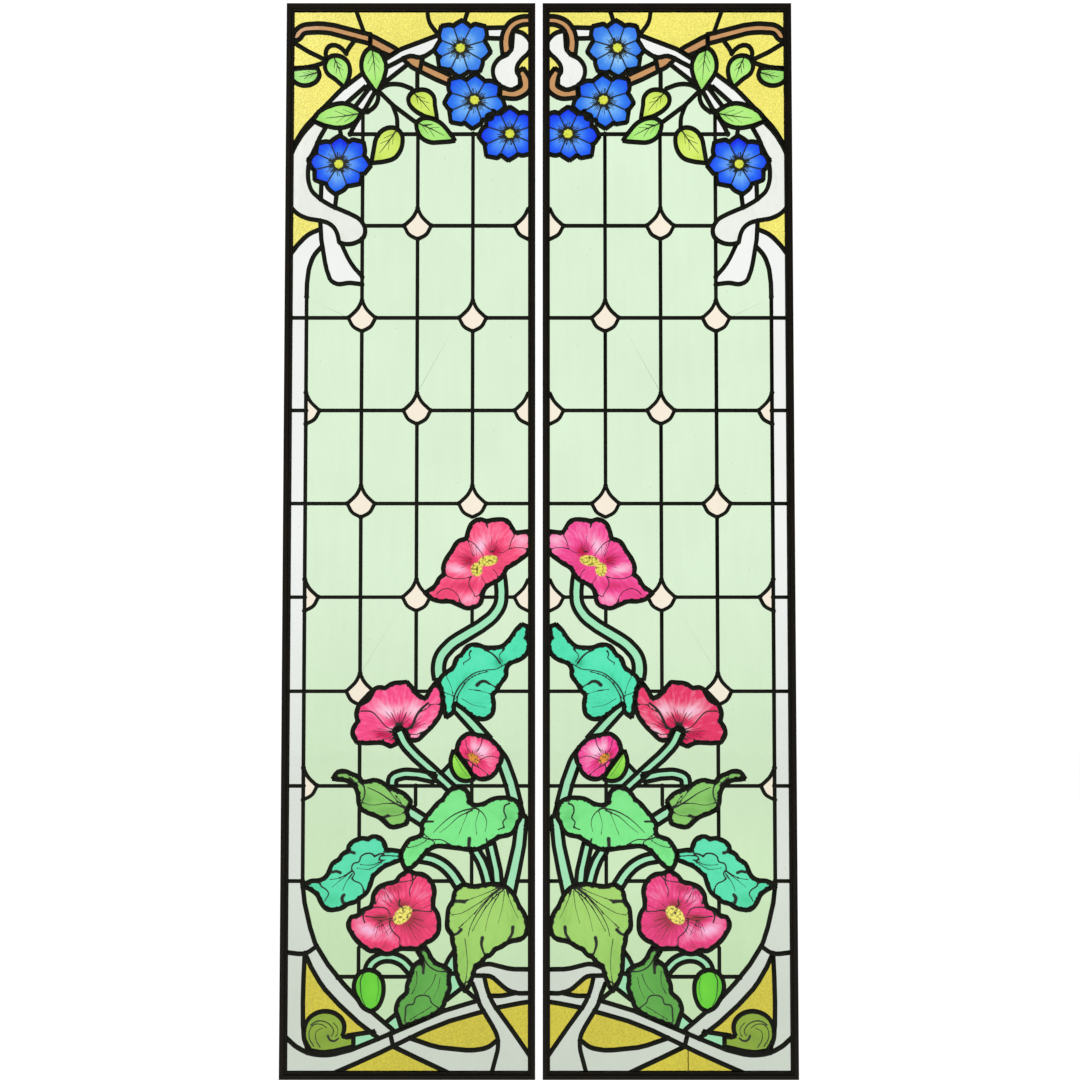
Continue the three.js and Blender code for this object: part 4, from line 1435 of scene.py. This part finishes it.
painted["leaf_veined"] = (
    [
        ([(414, 356), (398, 344), (382, 326), (366, 304), (355, 280), (352, 266)], 2.6, 0.8),
        ([(418, 353), (402, 340), (388, 324), (374, 302), (360, 276)], 2.0, 0.6),
        ([(410, 356), (386, 338), (362, 322), (340, 310), (322, 306)], 1.6, 0.5),
        ([(408, 354), (384, 332), (356, 302), (334, 282)], 1.4, 0.4),
        ([(408, 357), (378, 344), (350, 334)], 1.2, 0.4),
        ([(410, 344), (396, 320), (388, 296), (384, 276)], 1.2, 0.4),
        ([(420, 350), (416, 320), (408, 290)], 1.0, 0.4), ([(424, 350), (436, 320), (446, 300)], 1.0, 0.4),
        ([(346, 262), (350, 230), (350, 200), (346, 176)], 1.2, 0.5),
        ([(322, 330), (334, 332), (345, 331)], 3.6, 6.0), ([(322, 268), (332, 272), (339, 279)], 3.0, 5.4),
        ([(379, 264), (377, 252), (380, 240), (384, 230)], 5.4, 2.4),
        ([(428, 262), (434, 270), (436, 284)], 3.4, 5.4),
    ],
    (418, 356),
    washes(
        (350, 340, 26, 14, 0, 0.25), (340, 220, 16, 44, 0, -0.3), (400, 290, 30, 34, 0, 0.15),
        (436, 300, 16, 30, 0, -0.2), (345, 290, 20, 16, 0, 0.0)), None)
painted["leaf_dark"] = (
    [
        ([(234, 108), (235, 122), (238, 138), (250, 141), (254, 152), (268, 157), (280, 153), (283, 144),
          (290, 138), (298, 133)], 2.4, 1.6),
        ([(264, 236), (270, 224), (278, 212), (292, 203), (314, 200)], 2.6, 1.6),
        ([(269, 214), (268, 198)], 5.0, 4.0),
        ([(256, 200), (256, 180), (248, 160)], 1.0, 0.4), ([(292, 196), (284, 176), (270, 160)], 1.4, 0.5),
        ([(300, 190), (296, 170), (288, 152)], 1.0, 0.4), ([(284, 136), (264, 124), (244, 112)], 1.0, 0.4),
    ],
    (266, 210),
    washes(
        (290, 175, 18, 26, 0, 0.4), (252, 170, 12, 30, 0, -0.2), (262, 130, 26, 14, 20, 0.1),
        (290, 212, 22, 8, -30, -0.1), (240, 130, 12, 16, 0, -0.3)), None)
painted["seed_pod"] = (
    [([(156, 197), (151, 186), (151, 168), (154, 150), (160, 138)], 2.2, 1.0),
     ([(182, 190), (185, 170), (180, 146)], 0.9, 0.4)],
    (166, 165), washes((172, 168, 12, 24, 0, 0.35), (147, 168, 6, 26, 0, -0.25), (186, 160, 5, 24, 0, -0.2)),
    None)
painted["curled_frond"] = (
    [
        ([(58, 102), (70, 109), (84, 108), (96, 100), (101, 90), (97, 82)], 2.2, 1.6),
        ([(64, 62), (56, 76), (56, 92), (64, 102), (80, 102), (88, 96)], 1.8, 1.2),
        ([(76, 60), (68, 74), (69, 90), (80, 96)], 1.6, 1.0),
        ([(90, 82), (94, 74), (102, 72), (110, 77)], 3.8, 3.0),
        ([(100, 106), (108, 96), (108, 86), (104, 80)], 1.4, 0.8),
    ],
    (92, 86), washes((92, 104, 24, 12, 0, 0.2), (70, 70, 18, 14, 0, -0.15), (92, 84, 12, 12, 0, -0.3)), None)
for name in ("ribbon_outer", "ribbon_knot", "branch_long", "branch_short"):
    painted[name] = ([], edges[name][0].to_tuple(), washes(), None)

# Colours: the glass, its foot, where the wash is thin, where it is deep
paintedGlass = {
    "clematis_high": ("glass_blue", (70, 142, 236), (142, 200, 250), (48, 108, 232)),
    "clematis_middle": ("glass_blue", (52, 126, 238), (118, 182, 250), (32, 88, 236)),
    "clematis_edge": ("glass_blue", (36, 98, 244), (92, 160, 250), (22, 50, 232)),
    "clematis_outer": ("glass_blue", (40, 106, 242), (110, 172, 246), (24, 48, 230)),
    "leaf_border": ("glass_leaf", (156, 222, 112), (182, 238, 140), (108, 176, 66)),
    "leaf_by_branch": ("glass_leaf", (172, 234, 122), (196, 244, 150), (120, 192, 74)),
    "leaf_on_ribbon": ("glass_leaf", (172, 234, 122), (196, 244, 150), (120, 192, 74)),
    "leaf_under_ribbon": ("glass_leaf", (172, 234, 122), (196, 244, 150), (120, 192, 74)),
    "leaf_lime_high": ("glass_lime", (206, 232, 98), (224, 244, 130), (160, 186, 52)),
    "leaf_by_clematis": ("glass_leaf", (168, 232, 120), (192, 243, 146), (120, 192, 74)),
    "leaf_lime_low": ("glass_lime", (208, 234, 104), (226, 246, 140), (164, 190, 54)),
    "poppy_high": ("glass_rose", (248, 84, 128), (250, 196, 222), (196, 28, 74)),
    "poppy_side": ("glass_rose", (248, 82, 140), (248, 208, 226), (200, 24, 80)),
    "poppy_bud": ("glass_rose", (245, 52, 120), (250, 200, 226), (190, 16, 66)),
    "bud_sepal": ("glass_green", (132, 216, 60), (170, 240, 90), (88, 172, 34)),
    "poppy_low": ("glass_rose", (232, 42, 104), (240, 180, 214), (150, 10, 40)),
    "leaf_teal_high": ("glass_teal", (84, 226, 178), (112, 240, 198), (46, 172, 130)),
    "leaf_olive": ("glass_olive", (126, 192, 90), (146, 210, 110), (84, 150, 54)),
    "leaf_bright": ("glass_bright_green", (114, 224, 128), (142, 240, 152), (70, 176, 88)),
    "leaf_teal_low": ("glass_teal", (76, 214, 166), (104, 226, 186), (38, 190, 130)),
    "leaf_veined": ("glass_green", (150, 200, 92), (168, 212, 112), (110, 166, 56)),
    "leaf_dark": ("glass_moss", (80, 158, 54), (98, 176, 72), (52, 122, 34)),
    "seed_pod": ("glass_moss", (88, 196, 26), (118, 216, 50), (60, 150, 14)),
    "curled_frond": ("glass_moss", (126, 158, 34), (146, 176, 48), (96, 126, 20)),
    "ribbon_outer": ("glass_white", (232, 236, 228), (240, 242, 238), (206, 212, 202)),
    "ribbon_knot": ("glass_white", (238, 241, 236), (244, 246, 242), (214, 220, 210)),
    "branch_long": ("glass_brown", (198, 148, 98), (212, 166, 118), (150, 106, 66)),
    "branch_short": ("glass_brown", (196, 146, 96), (212, 166, 118), (150, 106, 66)),
}
# the right leaf's flowers are cut from sheets of a slightly different red
rightGlass = {
    "poppy_high": (244, 78, 152), "poppy_bud": (241, 46, 144), "poppy_low": (226, 42, 118),
    "poppy_side": (230, 60, 104),
}
stamenColours = {"poppy_bud": rgb(236, 150, 40), "clematis": rgb(224, 230, 84)}
for name, (slot, glass, pale, deep) in paintedGlass.items():
    strokes, centre, shade, pollen = painted[name]
    flowerKind = "clematis" if name in petals else name
    paint = {
        "Pale": rgb(*pale), "Deep": rgb(*deep),
        "Stamens": stamenColours.get(flowerKind, rgb(238, 226, 100)),
        "Heads": rgb(188, 202, 54) if name in petals else rgb(70, 62, 20),
        "Streaks": 1.1 if "poppy" in name else 0.7,
    }
    material = glassMaterial("glass_" + name, rgb(*glass), rgb(*glass), 0.1, 0.0, 0.4, paint)
    left = finished(paintedPane(name, strokes, centre, shade, pollen), "left_" + name + "_pane",
                    material, "left_" + name)
    other = None
    if name in rightGlass:
        tint = rgb(*rightGlass[name])
        other = glassMaterial("glass_right_" + name, tint, tint, 0.1, 0.0, 0.4, paint)
    mirroredPiece(left, "right_" + name + "_pane", "right_" + name, other)
print("stage: painted glass")


# Lead
def cameSection(face, depth, flange, heart):
    # an H with crowned flanges, about the middle of the glass, in metres
    half, top = face / 2000, depth / 2000
    lip, side = top - flange / 1000, heart / 2000
    right = [(side, lip), (half, lip), (half, lip + 0.4 * (top - lip)), (0.6 * half, top)]
    upper = right + [(-x, y) for x, y in reversed(right)]
    return upper + [(-x, -y) for x, y in upper]


def thinned(line, turn=3.5, reach=45.0):
    # a smooth line without the points that hardly turn it
    kept = [line[0]]
    for i in range(1, len(line) - 1):
        bend = turnAt(kept[-1], line[i], line[i + 1])
        if bend > turn or (line[i] - kept[-1]).length > reach:
            kept.append(line[i])
    return kept + [line[-1]]


def curveOf(name, lines, closed):
    curve = bpy.data.curves.new(name, "CURVE")
    curve.dimensions = "2D"
    for line in lines:
        spline = curve.splines.new("POLY")
        spline.points.add(len(line) - 1)
        for point, (x, y) in zip(spline.points, line):
            point.co = (x, y, 0, 1)
        spline.use_cyclic_u = closed
    return curve


def swept(name, lines, section):
    # a section carried along many lines of the cartoon
    sectionObject = objectOf(name + "_section", curveOf(name + "_section", [section], True))
    routes = [[placed(p.x, p.y) for p in line] for line in lines]
    path = curveOf(name, [[(p.x, p.z) for p in route] for route in routes], False)
    path.fill_mode = "NONE"
    path.bevel_mode = "OBJECT"
    path.bevel_object = sectionObject
    path.use_fill_caps = True
    pathObject = objectOf(name, path)
    bpy.context.view_layer.update()
    evaluated = pathObject.evaluated_get(bpy.context.evaluated_depsgraph_get())
    mesh = bpy.data.meshes.new_from_object(evaluated)
    mesh.transform(Matrix.Rotation(math.pi / 2, 4, "X"))
    for done in (pathObject, sectionObject):
        bpy.data.objects.remove(done)
    return mesh


def brokenAtCorners(line, corner=40.0):
    # a line cut at its sharp corners, each piece a little longer than its stretch
    cuts = [0] + [
        i for i in range(1, len(line) - 1) if turnAt(line[i - 1], line[i], line[i + 1]) > corner
    ] + [len(line) - 1]
    made = []
    for a, b in zip(cuts[:-1], cuts[1:]):
        run = [p.copy() for p in line[a:b + 1]]
        if (run[0] - run[-1]).length < 0.5 and len(run) < 4:
            continue
        if (run[1] - run[0]).length > 1e-4:
            run.insert(0, run[0] + (run[0] - run[1]).normalized() * 0.8)
        if (run[-1] - run[-2]).length > 1e-4:
            run.append(run[-1] + (run[-1] - run[-2]).normalized() * 0.8)
        made.append(run)
    return made


leadMesh = bmesh.new()
for lines, face in ((ornament, cameSizes["ornamentFace"]), (straight, cameSizes["latticeFace"])):
    runs = [thinned(run) for line, closed in lines for run in brokenAtCorners(line)]
    section = cameSection(face, cameSizes["depth"], cameSizes["flange"], cameSizes["heart"])
    leadMesh.from_mesh(swept("cames", runs, section))
print("stage: cames", len(leadMesh.faces))

# Soldered joints: one low dome on each face, where none is near yet
solder = {"radius": 4.9, "rise": 0.55, "sunk": 0.3, "spacing": 5.0, "fromEdge": 3.0}
spread = []
for joint in joints:
    if all((joint - other).length > solder["spacing"] for other in spread):
        spread.append(joint)
inset = solder["fromEdge"]
soldered = [
    p for p in spread
    if panel["left"] + inset < p.x < panel["right"] - inset
    and panel["foot"] + inset < p.y < panel["top"] - inset]
bead = bmesh.new()
bmesh.ops.create_uvsphere(bead, u_segments=8, v_segments=4, radius=1.0,
                          matrix=Matrix.Rotation(math.pi / 2, 4, "X"))
beadMesh = meshOf(bead, "bead")
domeShape = Matrix.Diagonal(
    (solder["radius"] / 1000, (solder["rise"] + solder["sunk"]) / 1000, solder["radius"] / 1000, 1))
for joint in soldered:
    for side in (-1, 1):
        middle = placed(joint.x, joint.y, side * (cameSizes["depth"] / 2 - solder["sunk"]))
        dome = beadMesh.copy()
        dome.transform(Matrix.Translation(middle) @ domeShape)
        leadMesh.from_mesh(dome)
        bpy.data.meshes.remove(dome)
left = finished(leadMesh, "left_leads", materials["lead"], "left_leadwork", 40.0)
mirroredPiece(left, "right_leads", "right_leadwork")
print("stage: lead, joints", len(soldered))

# Channel frame: steps drawn in from the outer arris, mirrored to the back
frameSizes = {
    "depth": 18.0,
    "arris": 0.7,
    "steps": [  # inwards, and back from the face
        (0.7, -0.7), (7.6, 0.0), (0.7, 0.7), (0.1, 2.3), (0.4, -0.4), (4.1, 0.0), (0.4, 0.6),
        (0.01, 1.5)],
}


def channelFrame():
    bm = bmesh.new()
    outer = (-leafSizes["gap"] / 2 - leafSizes["width"]) / 1000
    inner = -leafSizes["gap"] / 2000
    top = leafSizes["height"] / 1000
    bmesh.ops.create_grid(bm, x_segments=1, y_segments=1, size=0.5)
    shape = (Matrix.Translation(((outer + inner) / 2, 0, top / 2))
             @ Matrix.Diagonal((inner - outer, 1, top, 1)) @ Matrix.Rotation(math.pi / 2, 4, "X"))
    bmesh.ops.transform(bm, matrix=shape, verts=bm.verts[:])
    depth = frameSizes["depth"] / 2 - frameSizes["arris"]
    raised = bmesh.ops.extrude_face_region(bm, geom=bm.faces[:])
    face = [f for f in raised["geom"] if isinstance(f, bmesh.types.BMFace)][0]
    bmesh.ops.translate(bm, verts=face.verts[:], vec=(0, -depth / 1000, 0))
    bmesh.ops.delete(bm, geom=[f for f in bm.faces if all(abs(v.co.y) < 1e-6 for v in f.verts)],
                     context="FACES_ONLY")
    for inwards, back in frameSizes["steps"]:
        bmesh.ops.inset_region(bm, faces=[face], thickness=inwards / 1000, depth=0.0,
                               use_boundary=True, use_even_offset=True)
        bmesh.ops.translate(bm, verts=face.verts[:], vec=(0, back / 1000, 0))
    bmesh.ops.delete(bm, geom=[face], context="FACES_ONLY")
    bmesh.ops.mirror(bm, geom=bm.verts[:] + bm.edges[:] + bm.faces[:], axis="Y", merge_dist=1e-6)
    bmesh.ops.remove_doubles(bm, verts=bm.verts[:], dist=1e-6)
    return bm


left = finished(channelFrame(), "left_channel", materials["frame"], "left_frame")
mirroredPiece(left, "right_channel", "right_frame")
print("stage: frames")

# A repair: a thin lead run down the yellow glass at the right leaf's foot
repair = {"u": 206.0, "foot": 14.0, "top": 56.0, "width": 1.6, "depth": 4.6, "round": 0.4}
bm = bmesh.new()
bmesh.ops.create_cube(bm, size=1.0)
middle = placed(repair["u"], (repair["foot"] + repair["top"]) / 2)
shape = Matrix.Translation((-middle.x, 0, middle.z)) @ Matrix.Diagonal(
    (repair["width"] / 1000, repair["depth"] / 1000, (repair["top"] - repair["foot"]) / 1000, 1))
bmesh.ops.transform(bm, verts=bm.verts[:], matrix=shape)
bmesh.ops.bevel(bm, geom=bm.edges[:], offset=repair["round"] / 1000, offset_type="OFFSET",
                segments=2, profile=0.5, affect="EDGES", material=-1)
finished(bm, "right_repair_lead", materials["lead"], "right_leadwork")
print("stage: repair")

# Floor, light and camera
stageSizes = {
    "floor": 16.0, "below": 0.002, "floorGlow": 0.97, "room": 0.14, "sky": 1.06, "key": 18.0,
    "back": 60.0,
}
bm = bmesh.new()
bmesh.ops.create_grid(bm, x_segments=1, y_segments=1, size=stageSizes["floor"] / 2)
bmesh.ops.translate(bm, verts=bm.verts[:], vec=(0, 0, -stageSizes["below"]))
floor = objectOf("floor", meshOf(bm, "floor"))
material, tree, shader, place = startMaterial("floor")
feed(tree, shader, {
    "Base Color": mixIn(tree, noiseIn(tree, place, 40.0), rgb(118, 118, 116), rgb(126, 126, 126)),
    "Roughness": 0.9, "Emission Color": (1, 1, 1, 1), "Emission Strength": stageSizes["floorGlow"]})
floor.data.materials.append(material)

world = bpy.data.worlds.new("room")
scene.world = world
world.use_nodes = True
tree = world.node_tree
tree.nodes.clear()
light = tree.nodes.new("ShaderNodeLightPath")
seen = mathIn(tree, "MAXIMUM", light.outputs["Is Camera Ray"], light.outputs["Is Transmission Ray"])
dim = nodeIn(tree, "ShaderNodeBackground", {0: (1, 1, 1, 1), 1: stageSizes["room"]})
clear = nodeIn(tree, "ShaderNodeBackground", {0: (1, 1, 1, 1), 1: stageSizes["sky"]})
both = nodeIn(tree, "ShaderNodeMixShader", {0: seen, 1: dim.outputs[0], 2: clear.outputs[0]})
nodeIn(tree, "ShaderNodeOutputWorld", {0: both.outputs[0]})


def softLight(name, at, to, size, power):
    light = bpy.data.lights.new(name, "AREA")
    light.shape = "SQUARE"
    light.size = size
    light.energy = power
    lamp = objectOf(name, light)
    lamp.location = at
    lamp.rotation_euler = (Vector(to) - Vector(at)).to_track_quat("-Z", "Y").to_euler()
    lamp.visible_camera = False
    lamp.visible_transmission = False


softLight("key", (-1.6, -2.6, 2.6), (0, 0, 1.0), 1.6, stageSizes["key"])
softLight("back", (1.2, 3.0, 3.0), (0, 0.6, 0), 2.4, stageSizes["back"])

cameraData = bpy.data.cameras.new("camera")
camera = objectOf("camera", cameraData)
view = {"distance": 3.2, "height": 0.8558, "tilt": 2.8, "across": 0.002, "lens": 1681.0}
camera.location = (view["across"], -view["distance"], view["height"])
camera.rotation_euler = (math.radians(90 + view["tilt"]), 0, 0)
cameraData.sensor_fit = "HORIZONTAL"
cameraData.sensor_width = 36.0
cameraData.lens = 36.0 * view["lens"] / 1080
bpy.context.scene.camera = camera
scene.view_settings.view_transform = "Standard"
print("stage: floor, light, camera")
